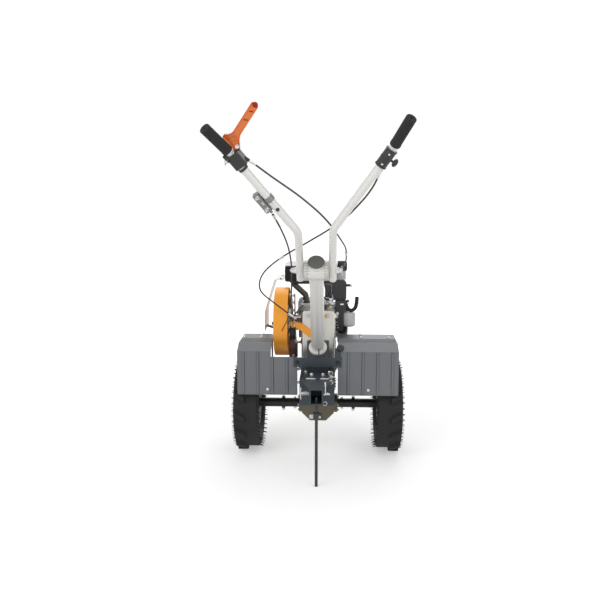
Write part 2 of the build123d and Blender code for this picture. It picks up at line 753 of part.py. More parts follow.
def hitch_box():
    half = HITCH_WIDTH / 2
    end_half = SOCKET_WIDTH / 2 + SOCKET_WALL
    outline = [
        (-half, CASE_BACK),
        (-half, HITCH_NARROW_FROM),
        (-end_half, HITCH_END),
        (end_half, HITCH_END),
        (half, HITCH_NARROW_FROM),
        (half, CASE_BACK),
    ]
    top = plan_prism(outline, HITCH_TOP - HITCH_WALL, HITCH_TOP)
    sides = block(-half, -half + HITCH_WALL, HITCH_NARROW_FROM, CASE_BACK, HITCH_BOTTOM, HITCH_TOP)
    sides += block(half - HITCH_WALL, half, HITCH_NARROW_FROM, CASE_BACK, HITCH_BOTTOM, HITCH_TOP)
    front = block(-half, half, CASE_BACK - HITCH_WALL, CASE_BACK, HITCH_BOTTOM, HITCH_TOP)
    shut = HITCH_NARROW_FROM + HITCH_WALL
    web = block(-half, half, HITCH_NARROW_FROM, shut, HITCH_BOTTOM, HITCH_TOP)
    low = SOCKET_FLOOR - SOCKET_WALL
    inner = SOCKET_WIDTH / 2
    socket = block(-end_half, end_half, HITCH_END, HITCH_NARROW_FROM, low, SOCKET_ROOF)
    socket -= block(-inner, inner, HITCH_END - 1, SOCKET_FROM, SOCKET_FLOOR, SOCKET_ROOF)
    body = top + sides + front + web + socket
    body -= rod_z(ROD_RADIUS + RUNNING_GAP, low - 1, SOCKET_FLOOR + 1, 0, ROD_Y)
    body -= rod_z(PIN_RADIUS, HITCH_TOP - 2 * HITCH_WALL, HITCH_TOP + 1, half - PIN_EDGE, PIN_Y)
    middle = (SOCKET_FLOOR + SOCKET_ROOF) / 2
    return body - rod_x(SCREW_RADIUS, -end_half - 1, 1 - inner, SCREW_Y, middle)


def hitch_pin():
    x = HITCH_WIDTH / 2 - PIN_EDGE
    pin = rod_z(PIN_RADIUS, HITCH_BOTTOM + PIN_SHOWS, HITCH_TOP + PIN_SHOWS, x, PIN_Y)
    return pin + rod_z(PIN_RADIUS + PIN_HEAD, HITCH_TOP, HITCH_TOP + PIN_HEAD, x, PIN_Y)


def clamp_screw():
    z = (SOCKET_FLOOR + SOCKET_ROOF) / 2
    face = -SOCKET_WIDTH / 2 - SOCKET_WALL
    screw = rod_x(SCREW_RADIUS, face - SCREW_SHOWS, -SOCKET_WIDTH / 2, SCREW_Y, z)
    bar = rod_z(SCREW_BAR_RADIUS, z - SCREW_BAR / 2, z + SCREW_BAR / 2, face - SCREW_SHOWS, SCREW_Y)
    return screw + bar


def depth_rod():
    """Stands on the floor, with its collar a travel below the hitch."""
    stop = SOCKET_FLOOR - SOCKET_WALL - ROD_TRAVEL - ROD_STOP_GAP
    rod = rod_z(ROD_RADIUS, -TYRE_RADIUS, SOCKET_FLOOR + ROD_ENGAGED, 0, ROD_Y)
    collar = rod_z(ROD_RADIUS + ROD_COLLAR_WALL, stop - ROD_COLLAR_HEIGHT, stop, 0, ROD_Y)
    half = ROD_WING_THICK / 2
    wing = block(0, ROD_WING_REACH, ROD_Y - half, ROD_Y + half, stop - ROD_COLLAR_HEIGHT, stop)
    return rod + collar + wing


# Handlebar

def handle_line(side):
    tail = on_column(PIVOT_ALONG - HANDLE_TAIL, HANDLE_X)
    return (tail, BEND, root(side), root(side) + grip_direction(side) * GRIP_LENGTH)


def raised(shape):
    """Turns a right-hand piece of the handlebar up about the disc axis."""
    return Pos(*PIVOT) * Rot(-RIGHT_RAISE, 0, 0) * Pos(*-PIVOT) * shape


def handle_tube(side):
    """A handle before it is raised, with its disc and clamp nut."""
    tube = bent_rod(HANDLE_RADIUS, handle_line(side), BEND_RADIUS, HANDLE_RADIUS - HANDLE_WALL)
    disc = toothed_disc(DISC_SPLIT + CONTACT_GAP, HANDLE_DISC_FACE)
    outside = HANDLE_X + HANDLE_RADIUS
    nut = rod_x(CLAMP_NUT_RADIUS, outside - 2, outside + CLAMP_NUT_THICK, PIVOT.Y, PIVOT.Z)
    bolt = rod_x(CLAMP_BOLT_RADIUS, HANDLE_DISC_FACE - 1, outside, PIVOT.Y, PIVOT.Z)
    return tube + disc + bolt + nut


def grip(side):
    end = root(side) + grip_direction(side) * (GRIP_LENGTH + GRIP_END_WALL)
    start = root(side) + grip_direction(side) * GRIP_SETBACK
    sleeve = rod_between(GRIP_RADIUS, start, end)
    return sleeve - tube_space(side)


def on_upper(back, side):
    """A place on the upper straight, measured down from the grip's root."""
    return root(side) - upper_direction(side) * back


def on_tube(back, side, shape):
    """Puts a piece on the upper straight: its x points outward and its z toward the grip."""
    return Plane(origin=on_upper(back, side), x_dir=(1, 0, 0), z_dir=upper_direction(side)) * shape


def tube_space(side):
    return bent_rod(HANDLE_RADIUS, handle_line(side), BEND_RADIUS)


def cable_gland(route, anchor):
    """Gland at a route's first point, on a short arm from the anchor."""
    start = Vector(*route[0])
    back = start - (Vector(*route[1]) - start).normalized() * GLAND_LENGTH
    barrel = rod_between(GLAND_RADIUS, back, start) + Pos(*back) * Sphere(GLAND_RADIUS)
    return barrel + rod_between(GLAND_RADIUS, anchor, back)


def lever_box():
    """Right-hand form of the lever's housing, solid."""
    section = RectangleRounded(HOUSING_SIDE, HOUSING_SIDE, HOUSING_CORNER)
    box = on_tube(HOUSING_AT + HOUSING_LENGTH, -1, extrude(section, HOUSING_LENGTH))
    return Pos(0, 0, HOUSING_RISE) * box


def lever_housing():
    """Left-hand housing round the tube, with the clutch cable's gland."""
    middle = mirrored_point(on_upper(HOUSING_AT + HOUSING_LENGTH / 2, -1))
    return mirrored(lever_box()) + cable_gland(CLUTCH_CABLE, middle) - mirrored(tube_space(-1))


def mirrored_point(place):
    return Vector(-place.X, place.Y, place.Z)


def clutch_lever():
    """Right-hand form of the lever: a foot on its housing, a short wing and an arm that rises inward."""
    lean = math.radians(LEVER_LEAN)
    foot = on_upper(HOUSING_AT + HOUSING_LENGTH / 2, -1) + Vector(0, 0, HOUSING_SIDE / 2)
    face = Plane(origin=foot, x_dir=(-1, 0, 0), z_dir=(0, math.cos(lean), math.sin(lean)))
    outline = Polygon(*LEVER_OUTLINE, align=None)
    outline = fillet(outline.vertices(), LEVER_CORNER)
    lever = extrude(face * outline, LEVER_THICK / 2, both=True)
    return lever - lever_box() - tube_space(-1)


def throttle_control():
    """Sleeve on the right tube with an oval thumb paddle and its cable's gland."""
    body = Cylinder(THROTTLE_RADIUS, THROTTLE_LENGTH)
    stem = rod_x(STEM_RADIUS, 0, PADDLE_REACH, 0, 0)
    paddle = extrude(Plane.XZ * Ellipse(PADDLE_HALF_WIDTH, PADDLE_HALF_HEIGHT), PADDLE_THICK / 2, both=True)
    control = body + stem + Pos(PADDLE_REACH, 0, 0) * paddle
    control = raised(on_tube(THROTTLE_AT + THROTTLE_LENGTH / 2, 1, control))
    low = raised(Vertex(*on_upper(THROTTLE_AT + THROTTLE_LENGTH - GLAND_RADIUS, 1))).center()
    return control + cable_gland(THROTTLE_CABLE, low) - raised(tube_space(1))


def steel_lever():
    """Left-hand slotted channel beside the tube, on a band, with the tension cable's gland."""
    near = HANDLE_RADIUS + STEEL_BAND / 2
    far = near + STEEL_LEVER_WIDTH
    half = STEEL_LEVER_LENGTH / 2
    wide = STEEL_LEVER_WIDTH / 2
    wall = STEEL_LEVER_WALL
    channel = block(near, far, -wide, wide, -half, half)
    channel -= block(near + wall, far - wall, wall - wide, wide + 1, wall - half, half - wall)
    pitch = STEEL_LEVER_LENGTH / STEEL_LEVER_SLOTS
    for index in range(STEEL_LEVER_SLOTS):
        z = (index + 0.5) * pitch - half
        slot = STEEL_SLOT_HALF
        channel -= block(near + 2 * wall, far - 2 * wall, -wide - 1, 0, z - slot, z + slot)
    band = Cylinder(HANDLE_RADIUS + STEEL_BAND, STEEL_BAND_LENGTH)
    fixed = mirrored(on_tube(STEEL_LEVER_AT, -1, channel + band))
    corner = on_tube(STEEL_LEVER_AT, -1, Vertex((near + far) / 2, 0, wall / 2 - half)).center()
    return fixed + cable_gland(TENSION_CABLE, mirrored_point(corner)) - mirrored(tube_space(-1))


def corner_radii(route):
    """The largest arcs that the runs beside each corner leave room for."""
    radii = []
    for before, corner, after in zip(route, route[1:], route[2:]):
        arriving = Vector(*corner) - Vector(*before)
        leaving = Vector(*after) - Vector(*corner)
        half_turn = math.radians(arriving.get_angle(leaving)) / 2
        run = min(arriving.length, leaving.length)
        radii.append(CABLE_ARC_SHARE * run / math.tan(half_turn))
    return radii


def cable(route):
    radii = corner_radii(route)
    print("cable arcs in mm:", [round(radius) for radius in radii])
    return bent_rod(CABLE_RADIUS, route, radii)


# Fenders

def sheet_outline(points, thick):
    """Closed outline of a folded sheet whose outer face runs through the points."""
    inner = []
    count = len(points)
    for index, (y, z) in enumerate(points):
        normals = []
        for a, b in ((index - 1, index), (index, index + 1)):
            if a < 0 or b >= count:
                continue
            dy = points[b][0] - points[a][0]
            dz = points[b][1] - points[a][1]
            length = math.hypot(dy, dz)
            normals.append((dz / length, -dy / length))
        ny = sum(n[0] for n in normals)
        nz = sum(n[1] for n in normals)
        size = (ny * ny + nz * nz) / len(normals)
        inner.append((y + thick * ny / size, z + thick * nz / size))
    return points + inner[::-1]


def fender():
    points = [
        (FENDER_BACK, FENDER_LOW),
        (FENDER_BACK, FENDER_FOLD),
        (FENDER_BEVEL_END, FENDER_TOP),
        (FENDER_FRONT, FENDER_TOP),
        (FENDER_NOSE, FENDER_NOSE_Z),
    ]
    sheet = side_prism(sheet_outline(points, FENDER_SHEET), FENDER_INNER, FENDER_OUTER)
    for index in range(FENDER_RIB_COUNT):
        rib = rib_outline(FENDER_OUTER - FENDER_RIB_EDGE - index * FENDER_RIB_PITCH, FENDER_BACK, -1)
        sheet += plan_prism(rib, FENDER_LOW + FENDER_RIB_END, FENDER_FOLD - FENDER_RIB_END)
    for index in range(FENDER_CREASES):
        crease = rib_outline(FENDER_BEVEL_END + (index + 1) * FENDER_CREASE_PITCH, FENDER_TOP, 1)
        sheet += side_prism(crease, FENDER_INNER + FENDER_RIB_END, FENDER_OUTER - FENDER_RIB_END)
    return sheet


def rib_outline(along, face, way):
    """Pressed rib's section: a low trapezoid on the sheet's outer face."""
    top = face + way * FENDER_RIB_HEIGHT
    half = FENDER_RIB_HALF
    return [(along - half, face), (along - half / 2, top), (along + half / 2, top), (along + half, face)]


def notched_fender():
    """Left fender: its inner part is cut low, to clear the belt guard."""
    whole = mirrored(fender())
    edge = GUARD_LEFT - NOTCH_GAP
    y0 = FENDER_BACK - 2 * FENDER_RIB_HEIGHT
    high = FENDER_TOP + 2 * FENDER_RIB_HEIGHT
    return whole - block(edge, 1 - FENDER_INNER, y0, FENDER_NOSE + 1, NOTCH_Z, high)


def fender_arm():
    """Folded flat bar from the gearbox's side, under the belt guard and up to the fender's top."""
    t = FENDER_ARM_THICK
    top = FENDER_TOP - FENDER_SHEET
    outline = [
        (CASE_HALF, FENDER_ARM_LOW - FENDER_ARM_WIDTH),
        (CASE_HALF, FENDER_ARM_LOW),
        (FENDER_ARM_X - t, FENDER_ARM_LOW),
        (FENDER_ARM_X - t, top),
        (FENDER_ARM_X + FENDER_ARM_PAD, top),
        (FENDER_ARM_X + FENDER_ARM_PAD, top - t),
        (FENDER_ARM_X, top - t),
        (FENDER_ARM_X, FENDER_ARM_LOW - t),
        (CASE_HALF + t, FENDER_ARM_LOW - t),
        (CASE_HALF + t, FENDER_ARM_LOW - FENDER_ARM_WIDTH),
    ]
    return back_prism(outline, FENDER_ARM_Y, FENDER_ARM_Y + FENDER_ARM_WIDTH)


# Engine and its frame

def engine_frame():
    low = FRAME_TOP - FRAME_RAIL_HEIGHT
    half = FRAME_RAIL_WIDTH / 2
    rail = block(FRAME_RAIL_X - half, FRAME_RAIL_X + half, CASE_FRONT, FRAME_FRONT, low, FRAME_TOP)
    rail -= block(
        FRAME_RAIL_X - half, FRAME_RAIL_X + half - FRAME_RAIL_WALL, CASE_FRONT, FRAME_FRONT,
        low + FRAME_RAIL_WALL, FRAME_TOP - FRAME_RAIL_WALL,
    )
    reach = FRAME_RAIL_X + half
    front = block(-reach, reach, FRAME_FRONT, FRAME_FRONT + FRAME_RAIL_WALL, low, FRAME_TOP)
    middle = (low + FRAME_TOP) / 2
    for x in (-BOLT_HOLE_PITCH / 2, BOLT_HOLE_PITCH / 2):
        front -= rod_y(BOLT_HOLE_RADIUS, FRAME_FRONT - 1, FRAME_FRONT + FRAME_RAIL_WALL + 1, x, middle)
    back = block(-CASE_HALF, CASE_HALF, CASE_FRONT, CASE_FRONT + FRAME_RAIL_WALL, low, FRAME_TOP)
    return rail + mirrored(rail) + front + back


def front_bumper():
    y = FRAME_FRONT + FRAME_RAIL_WALL
    z = FRAME_TOP - FRAME_RAIL_HEIGHT / 2
    points = [
        (-FRAME_RAIL_X, y, z),
        (-FRAME_RAIL_X, y + BUMPER_REACH, z),
        (-FRAME_RAIL_X, y + BUMPER_REACH, z + BUMPER_RISE),
        (FRAME_RAIL_X, y + BUMPER_REACH, z + BUMPER_RISE),
        (FRAME_RAIL_X, y + BUMPER_REACH, z),
        (FRAME_RAIL_X, y, z),
    ]
    return bent_rod(BUMPER_RADIUS, points, 2 * BUMPER_RADIUS)


def engine_block():
    body = block(BLOCK_LEFT, BLOCK_RIGHT, BLOCK_BACK, BLOCK_FRONT, FRAME_TOP, BLOCK_TOP)
    body = fillet(body.edges().filter_by(Axis.X), BLOCK_CORNER)
    low = BLOCK_TOP - BLOCK_CORNER
    shelf_end = TANK_FRONT - BRACKET_BAR
    half = BRACKET_BAR
    post = block(-half, half, BLOCK_FRONT - BRACKET_BAR, BLOCK_FRONT, low, TANK_BOTTOM)
    reach = block(-half, half, BLOCK_BACK + BLOCK_CORNER, shelf_end, TANK_BOTTOM - SHELF_THICK, TANK_BOTTOM)
    return body + post + reach


def cylinder():
    """Finned barrel lying back from the crankcase toward the operator."""
    core = rod_y(BARREL_RADIUS, BARREL_BACK, BLOCK_BACK, BARREL_X, BARREL_Z)
    pitch = (BLOCK_BACK - BARREL_BACK) / FIN_COUNT
    for index in range(FIN_COUNT):
        y = BARREL_BACK + (index + 0.5) * pitch
        fin = block(
            BARREL_X - FIN_HALF, BARREL_X + FIN_HALF, y - FIN_THICK / 2, y + FIN_THICK / 2,
            BARREL_Z - FIN_HALF, BARREL_Z + FIN_HALF,
        )
        core += fillet(fin.edges().filter_by(Axis.Y), FIN_CORNER)
    return core


def cylinder_head():
    head = block(
        BARREL_X - HEAD_HALF, BARREL_X + HEAD_HALF, BARREL_BACK - HEAD_DEPTH, BARREL_BACK,
        BARREL_Z - HEAD_HALF, BARREL_Z + HEAD_HALF,
    )
    return fillet(head.edges().filter_by(Axis.Y), HEAD_CORNER)


def fuel_tank():
    tank = block(TANK_LEFT, TANK_RIGHT, TANK_BACK, TANK_FRONT, TANK_BOTTOM, TANK_TOP)
    tank = fillet(tank.edges().filter_by(Axis.Z), TANK_CORNER)
    tank = fillet(tank.edges().group_by(Axis.Z)[-1], TANK_TOP_CORNER)
    neck_z = FUEL_CAP_TOP - FUEL_CAP_HEIGHT
    neck = rod_z(NECK_RADIUS, TANK_BOTTOM, neck_z, NECK_X, NECK_Y)
    y0 = NECK_Y - NECK_RADIUS
    bridge = block(TANK_RIGHT - TANK_CORNER, NECK_X, y0, NECK_Y + NECK_RADIUS, TANK_BOTTOM, neck_z)
    tab_z = FUEL_CAP_TOP - FUEL_CAP_HEIGHT - CABLE_TAB_THICK
    anchor = Vector(CLUTCH_CABLE[-1][0], CLUTCH_CABLE[-1][1] + GLAND_LENGTH, tab_z - CABLE_TAB_THICK / 2)
    tab = block(
        anchor.X - CABLE_TAB_HALF, anchor.X + CABLE_TAB_HALF, anchor.Y - CABLE_TAB_HALF, NECK_Y,
        tab_z - CABLE_TAB_THICK, tab_z,
    )
    return tank + neck + bridge + tab + cable_gland(CLUTCH_CABLE[::-1], anchor)


def fuel_cap():
    cap = rod_z(FUEL_CAP_RADIUS, FUEL_CAP_TOP - FUEL_CAP_HEIGHT, FUEL_CAP_TOP, NECK_X, NECK_Y)
    cap -= block(
        TANK_LEFT, TANK_RIGHT + CONTACT_GAP, TANK_BACK, TANK_FRONT, TANK_BOTTOM, TANK_TOP + CONTACT_GAP
    )
    return fillet(cap.edges().group_by(Axis.Z)[-1], FUEL_CAP_CORNER)


def muffler():
    box = block(MUFFLER_LEFT, MUFFLER_RIGHT, MUFFLER_BACK, MUFFLER_FRONT, MUFFLER_BOTTOM, MUFFLER_TOP)
    box = fillet(box.edges().filter_by(Axis.Y), MUFFLER_CORNER)
    pitch = (MUFFLER_TOP - MUFFLER_BOTTOM - 2 * MUFFLER_CORNER) / SLOT_COUNT
    for index in range(SLOT_COUNT):
        z = MUFFLER_BOTTOM + MUFFLER_CORNER + (index + 0.5) * pitch
        box -= block(
            MUFFLER_LEFT + MUFFLER_CORNER, MUFFLER_RIGHT - MUFFLER_CORNER,
            MUFFLER_BACK, MUFFLER_BACK + SLOT_DEPTH, z - SLOT_HEIGHT / 2, z + SLOT_HEIGHT / 2,
        )
    return box


def exhaust_pipe():
    """Runs slantwise from the muffler's underside to the top of the head."""
    x = MUFFLER_RIGHT - PIPE_RADIUS - PIPE_INSET
    y = (MUFFLER_BACK + MUFFLER_FRONT) / 2
    port_x = BARREL_X - HEAD_HALF + PIPE_PORT_INSET
    port_y = BARREL_BACK - HEAD_DEPTH / 2
    port_z = BARREL_Z + HEAD_HALF
    points = [
        (x, y, MUFFLER_BOTTOM),
        (x, y, MUFFLER_BOTTOM - PIPE_DROP),
        (port_x, port_y, port_z + PIPE_RISE),
        (port_x, port_y, port_z),
    ]
    return bent_rod(PIPE_RADIUS, points, PIPE_BEND)


def tank_rail():
    """Black bar across the machine under the tank's back edge."""
    return block(
        RAIL_BAR_LEFT, FILTER_LEFT - CONTACT_GAP, RAIL_BAR_BACK, RAIL_BAR_BACK + RAIL_BAR_DEPTH,
        TANK_BOTTOM - RAIL_BAR_HEIGHT, TANK_BOTTOM,
    )


def air_filter():
    box = block(FILTER_LEFT, FILTER_RIGHT, FILTER_BACK, FILTER_FRONT, FILTER_BOTTOM, FILTER_TOP)
    box = fillet(box.edges().filter_by(Axis.Y), FILTER_CORNER)
    knob_end = FILTER_RIGHT + KNOB_LENGTH
    knob = rod_x(KNOB_RADIUS, FILTER_RIGHT - 1, knob_end, FILTER_BACK + KNOB_INSET, FILTER_TOP - KNOB_INSET)
    return box + knob


def carburettor():
    high = THROAT_Z + CARB_RADIUS
    body = rod_z(CARB_RADIUS, high - CARB_HEIGHT, high, CARB_X, CARB_Y)
    throat = rod_x(CARB_RADIUS, BARREL_X, CARB_X + CARB_RADIUS, CARB_Y, THROAT_Z)
    link = rod_x(CARB_LINK_RADIUS, CARB_X, DUCT_LEFT, CARB_Y, THROAT_Z)
    return body + throat + link - cylinder()


def air_duct():
    """Black duct under the filter: wide at the top, and hollowed below to hold the cup."""
    y1 = DUCT_BACK + DUCT_DEPTH
    wide_z = FILTER_BOTTOM - DUCT_HEIGHT
    duct = block(DUCT_LEFT, DUCT_RIGHT, DUCT_BACK, y1, wide_z, FILTER_BOTTOM)
    duct += block(DUCT_LEFT, DUCT_NECK, DUCT_BACK, y1, DUCT_BOTTOM, wide_z)
    duct = fillet(duct.edges().filter_by(Axis.Y), DUCT_CORNER)
    middle = (DUCT_BOTTOM + wide_z) / 2
    half = DUCT_FOOT_HEIGHT / 2
    duct += block(DUCT_LEFT, BLOCK_RIGHT, y1 - DUCT_CORNER, BLOCK_BACK, middle - half, middle + half)
    return duct - rod_z(CUP_RADIUS + CONTACT_GAP, CUP_BOTTOM, CUP_TOP + CONTACT_GAP, CUP_X, CUP_Y)


def oil_cup():
    cup = rod_z(CUP_RADIUS, CUP_BOTTOM, CUP_TOP, CUP_X, CUP_Y)
    return fillet(cup.edges().group_by(Axis.Z)[0], CUP_CORNER)


def intake_hose():
    """Moulded hose in the form of a J, open at its top end."""
    y = FILTER_BACK + HOSE_Y_OFFSET
    points = [(DUCT_RIGHT + out, y, FILTER_BOTTOM - down) for out, down in HOSE_ROUTE]
    hose = bent_rod(HOSE_RADIUS, points, corner_radii(points), HOSE_RADIUS - HOSE_WALL)
    return hose - block(DUCT_LEFT, DUCT_RIGHT, DUCT_BACK, DUCT_BACK + DUCT_DEPTH, DUCT_BOTTOM, FILTER_BOTTOM)


def recoil_starter():
    drum = rod_x(STARTER_RADIUS, BLOCK_RIGHT, BLOCK_RIGHT + STARTER_DEPTH, CRANK_Y, CRANK_Z)
    drum = fillet(drum.edges().group_by(Axis.X)[-1], STARTER_DOME)
    face = BLOCK_RIGHT + STARTER_DEPTH
    for index in range(GRILLE_SLOTS):
        half = GRILLE_SLOT_WIDTH / 2
        slot = block(face - GRILLE_DEPTH, face + 1, -half, half, GRILLE_INNER, GRILLE_OUTER)
        drum -= Pos(0, CRANK_Y, CRANK_Z) * Rot(index * 360 / GRILLE_SLOTS, 0, 0) * slot
    return drum


# Belt drive, seen open from the inner side

def pulley(radius, y, z, spokes):
    body = rod_x(radius, PULLEY_LEFT, PULLEY_RIGHT, y, z)
    ring = rod_x(radius + 1, PULLEY_LEFT + GROOVE_WALL, PULLEY_RIGHT - GROOVE_WALL, y, z)
    ring -= rod_x(radius - GROOVE_DEPTH, PULLEY_LEFT, PULLEY_RIGHT, y, z)
    body -= ring
    if spokes:
        inner = (2 * SHAFT_RADIUS + radius - 2 * GROOVE_DEPTH) / 2
        hole = (radius - 2 * GROOVE_DEPTH - 2 * SHAFT_RADIUS) / 2 - GROOVE_WALL
        for index in range(SPOKE_COUNT):
            turn = Pos(0, y, z) * Rot(index * 360 / SPOKE_COUNT, 0, 0)
            body -= turn * rod_x(hole, PULLEY_LEFT - 1, PULLEY_RIGHT + 1, 0, inner)
    return body


def gearbox_pulley():
    shaft = rod_x(SHAFT_RADIUS, PULLEY_LEFT, -CASE_HALF, PULLEY_CENTRE_Y, PULLEY_CENTRE_Z)
    return pulley(BIG_PULLEY_RADIUS, PULLEY_CENTRE_Y, PULLEY_CENTRE_Z, True) + shaft


def engine_pulley():
    shaft = rod_x(SHAFT_RADIUS, PULLEY_LEFT, BLOCK_LEFT, CRANK_Y, CRANK_Z)
    return pulley(SMALL_PULLEY_RADIUS, CRANK_Y, CRANK_Z, False) + shaft


def belt_loop(grow, x0, x1):
    """Outline round both pulleys, grown past their groove floors."""
    big = Pos(PULLEY_CENTRE_Y, PULLEY_CENTRE_Z) * Circle(BIG_PULLEY_RADIUS + grow)
    small = Pos(CRANK_Y, CRANK_Z) * Circle(SMALL_PULLEY_RADIUS + grow)
    hull = make_hull(big.edges() + small.edges())
    return extrude(Plane.YZ.offset(x0) * hull, x1 - x0)


def drive_belt():
    x0 = PULLEY_LEFT + GROOVE_WALL + CONTACT_GAP
    x1 = PULLEY_RIGHT - GROOVE_WALL - CONTACT_GAP
    inner = -GROOVE_DEPTH
    return belt_loop(inner + BELT_THICK, x0, x1) - belt_loop(inner, x0 - 1, x1 + 1)


def guard_outline(shrink, x0, x1):
    big = Pos(PULLEY_CENTRE_Y, PULLEY_CENTRE_Z) * Circle(BIG_PULLEY_RADIUS + GUARD_RIM - shrink)
    small = Pos(CRANK_Y, CRANK_Z) * Circle(SMALL_PULLEY_RADIUS + GUARD_SMALL_RIM - shrink)
    hull = make_hull(big.edges() + small.edges())
    return extrude(Plane.YZ.offset(x0) * hull, x1 - x0)


def belt_guard():
    shell = guard_outline(0, GUARD_LEFT, GUARD_RIGHT)
    shell -= guard_outline(GUARD_SHEET, GUARD_LEFT + GUARD_SHEET, GUARD_RIGHT + 1)
    return shell + guard_stay()


def guard_stay():
    """Flat strap inside the guard's rim, across to the engine frame's rail."""
    y0 = STAY_Y - FENDER_ARM_WIDTH / 2
    z0 = lower_run(STAY_Y)
    rail_side = -FRAME_RAIL_X - FRAME_RAIL_WIDTH / 2
    return block(GUARD_RIGHT - STAY_LAP, rail_side, y0, y0 + FENDER_ARM_WIDTH, z0, z0 + FENDER_ARM_THICK)


def lower_run(y):
    """Height of the guard's straight underside."""
    big = BIG_PULLEY_RADIUS + GUARD_RIM
    small = SMALL_PULLEY_RADIUS + GUARD_SMALL_RIM
    along = CRANK_Y - PULLEY_CENTRE_Y
    drop = PULLEY_CENTRE_Z - CRANK_Z
    angle = math.asin((big - small) / math.hypot(along, drop)) - math.atan2(drop, along)
    return PULLEY_CENTRE_Z - big / math.cos(angle) + (y - PULLEY_CENTRE_Y) * math.tan(angle)


def guard_cover():
    """Outer cover, an open bent sheet: upright below, sloping in, with a flange on top."""
    points = [
        (COVER_LEFT, COVER_BOTTOM),
        (COVER_LEFT, CRANK_Z + COVER_KNEE),
        (GUARD_LEFT - COVER_SHOULDER, COVER_TOP),
        (GUARD_LEFT + COVER_FLANGE, COVER_TOP),
    ]
    return back_prism(sheet_outline(points, COVER_SHEET), COVER_BACK, COVER_FRONT)


def cover_bar():
    """Slanting bar that carries the cover on the guard's outer face."""
    high = COVER_BOTTOM + COVER_BAR_RAISE
    low = high - COVER_BAR_DROP
    left = COVER_LEFT + COVER_SHEET
    outline = [
        (left, high),
        (left, high + COVER_BAR_THICK),
        (GUARD_LEFT, low + COVER_BAR_THICK),
        (GUARD_LEFT, low),
    ]
    middle = (COVER_BACK + COVER_FRONT) / 2
    return back_prism(outline, middle - COVER_BAR_WIDTH / 2, middle + COVER_BAR_WIDTH / 2)


def run_angle():
    """Slope of the belt's upper run, down toward the engine."""
    dy = CRANK_Y - PULLEY_CENTRE_Y
    dz = PULLEY_CENTRE_Z - CRANK_Z
    return math.asin((BIG_PULLEY_RADIUS - SMALL_PULLEY_RADIUS) / math.hypot(dy, dz)) + math.atan2(dz, dy)


def tension_roller():
    """Roller inside the loop, just under the belt's upper run, on a pin from the guard."""
    angle = run_angle()
    under = BIG_PULLEY_RADIUS - GROOVE_DEPTH - ROLLER_RADIUS - CONTACT_GAP
    y = CRANK_Y - ROLLER_FROM_CRANK
    z = PULLEY_CENTRE_Z + under / math.cos(angle) - (y - PULLEY_CENTRE_Y) * math.tan(angle)
    roller = rod_x(ROLLER_RADIUS, PULLEY_LEFT, PULLEY_RIGHT, y, z)
    return roller + rod_x(ROLLER_PIN_RADIUS, GUARD_LEFT + GUARD_SHEET, PULLEY_LEFT, y, z)


def orange_brace():
    """Bar on edge, curving down from beside the guard to the gearbox's back."""
    y = CASE_BACK - BRACE_THICK / 2
    points = [
        (GUARD_RIGHT + BRACE_OUT, y, PULLEY_CENTRE_Z),
        (BRACE_BEND_X, y, PULLEY_CENTRE_Z),
        (BRACE_END_X, y, BRACE_END_Z),
    ]
    path = FilletPolyline(*points, radius=BRACE_BEND_RADIUS)
    start = Plane(origin=path @ 0, x_dir=(0, 1, 0), z_dir=path % 0)
    return sweep(start * Rectangle(BRACE_THICK, BRACE_WIDTH), path=path)


def tension_arm():
    """Stub shaft from the gearbox's side, with an arm that two cables end on."""
    end = -CASE_HALF - TENSION_SHAFT_REACH
    shaft = rod_x(TENSION_SHAFT_RADIUS, end, -CASE_HALF, TENSION_SHAFT_Y, TENSION_SHAFT_Z)
    tip_y = TENSION_SHAFT_Y - TENSION_ARM_BACK
    tip_z = TENSION_SHAFT_Z + TENSION_ARM_RISE
    low = Pos(TENSION_SHAFT_Y, TENSION_SHAFT_Z) * Circle(TENSION_ARM_ROOT)
    high = Pos(tip_y, tip_z) * Circle(TENSION_ARM_TIP)
    outline = make_hull(low.edges() + high.edges())
    arm = extrude(Plane.YZ.offset(end) * outline, TENSION_ARM_THICK)
    anchor = Vector(end + TENSION_ARM_THICK / 2, tip_y, tip_z)
    ends = cable_gland(THROTTLE_CABLE[::-1], anchor) + cable_gland(TENSION_CABLE[::-1], anchor)
    return shaft + arm + ends


def wheel_side(shape):
    """A piece at its own centre, moved to the right wheel's place."""
    return Pos(WHEEL_X, 0, 0) * shape


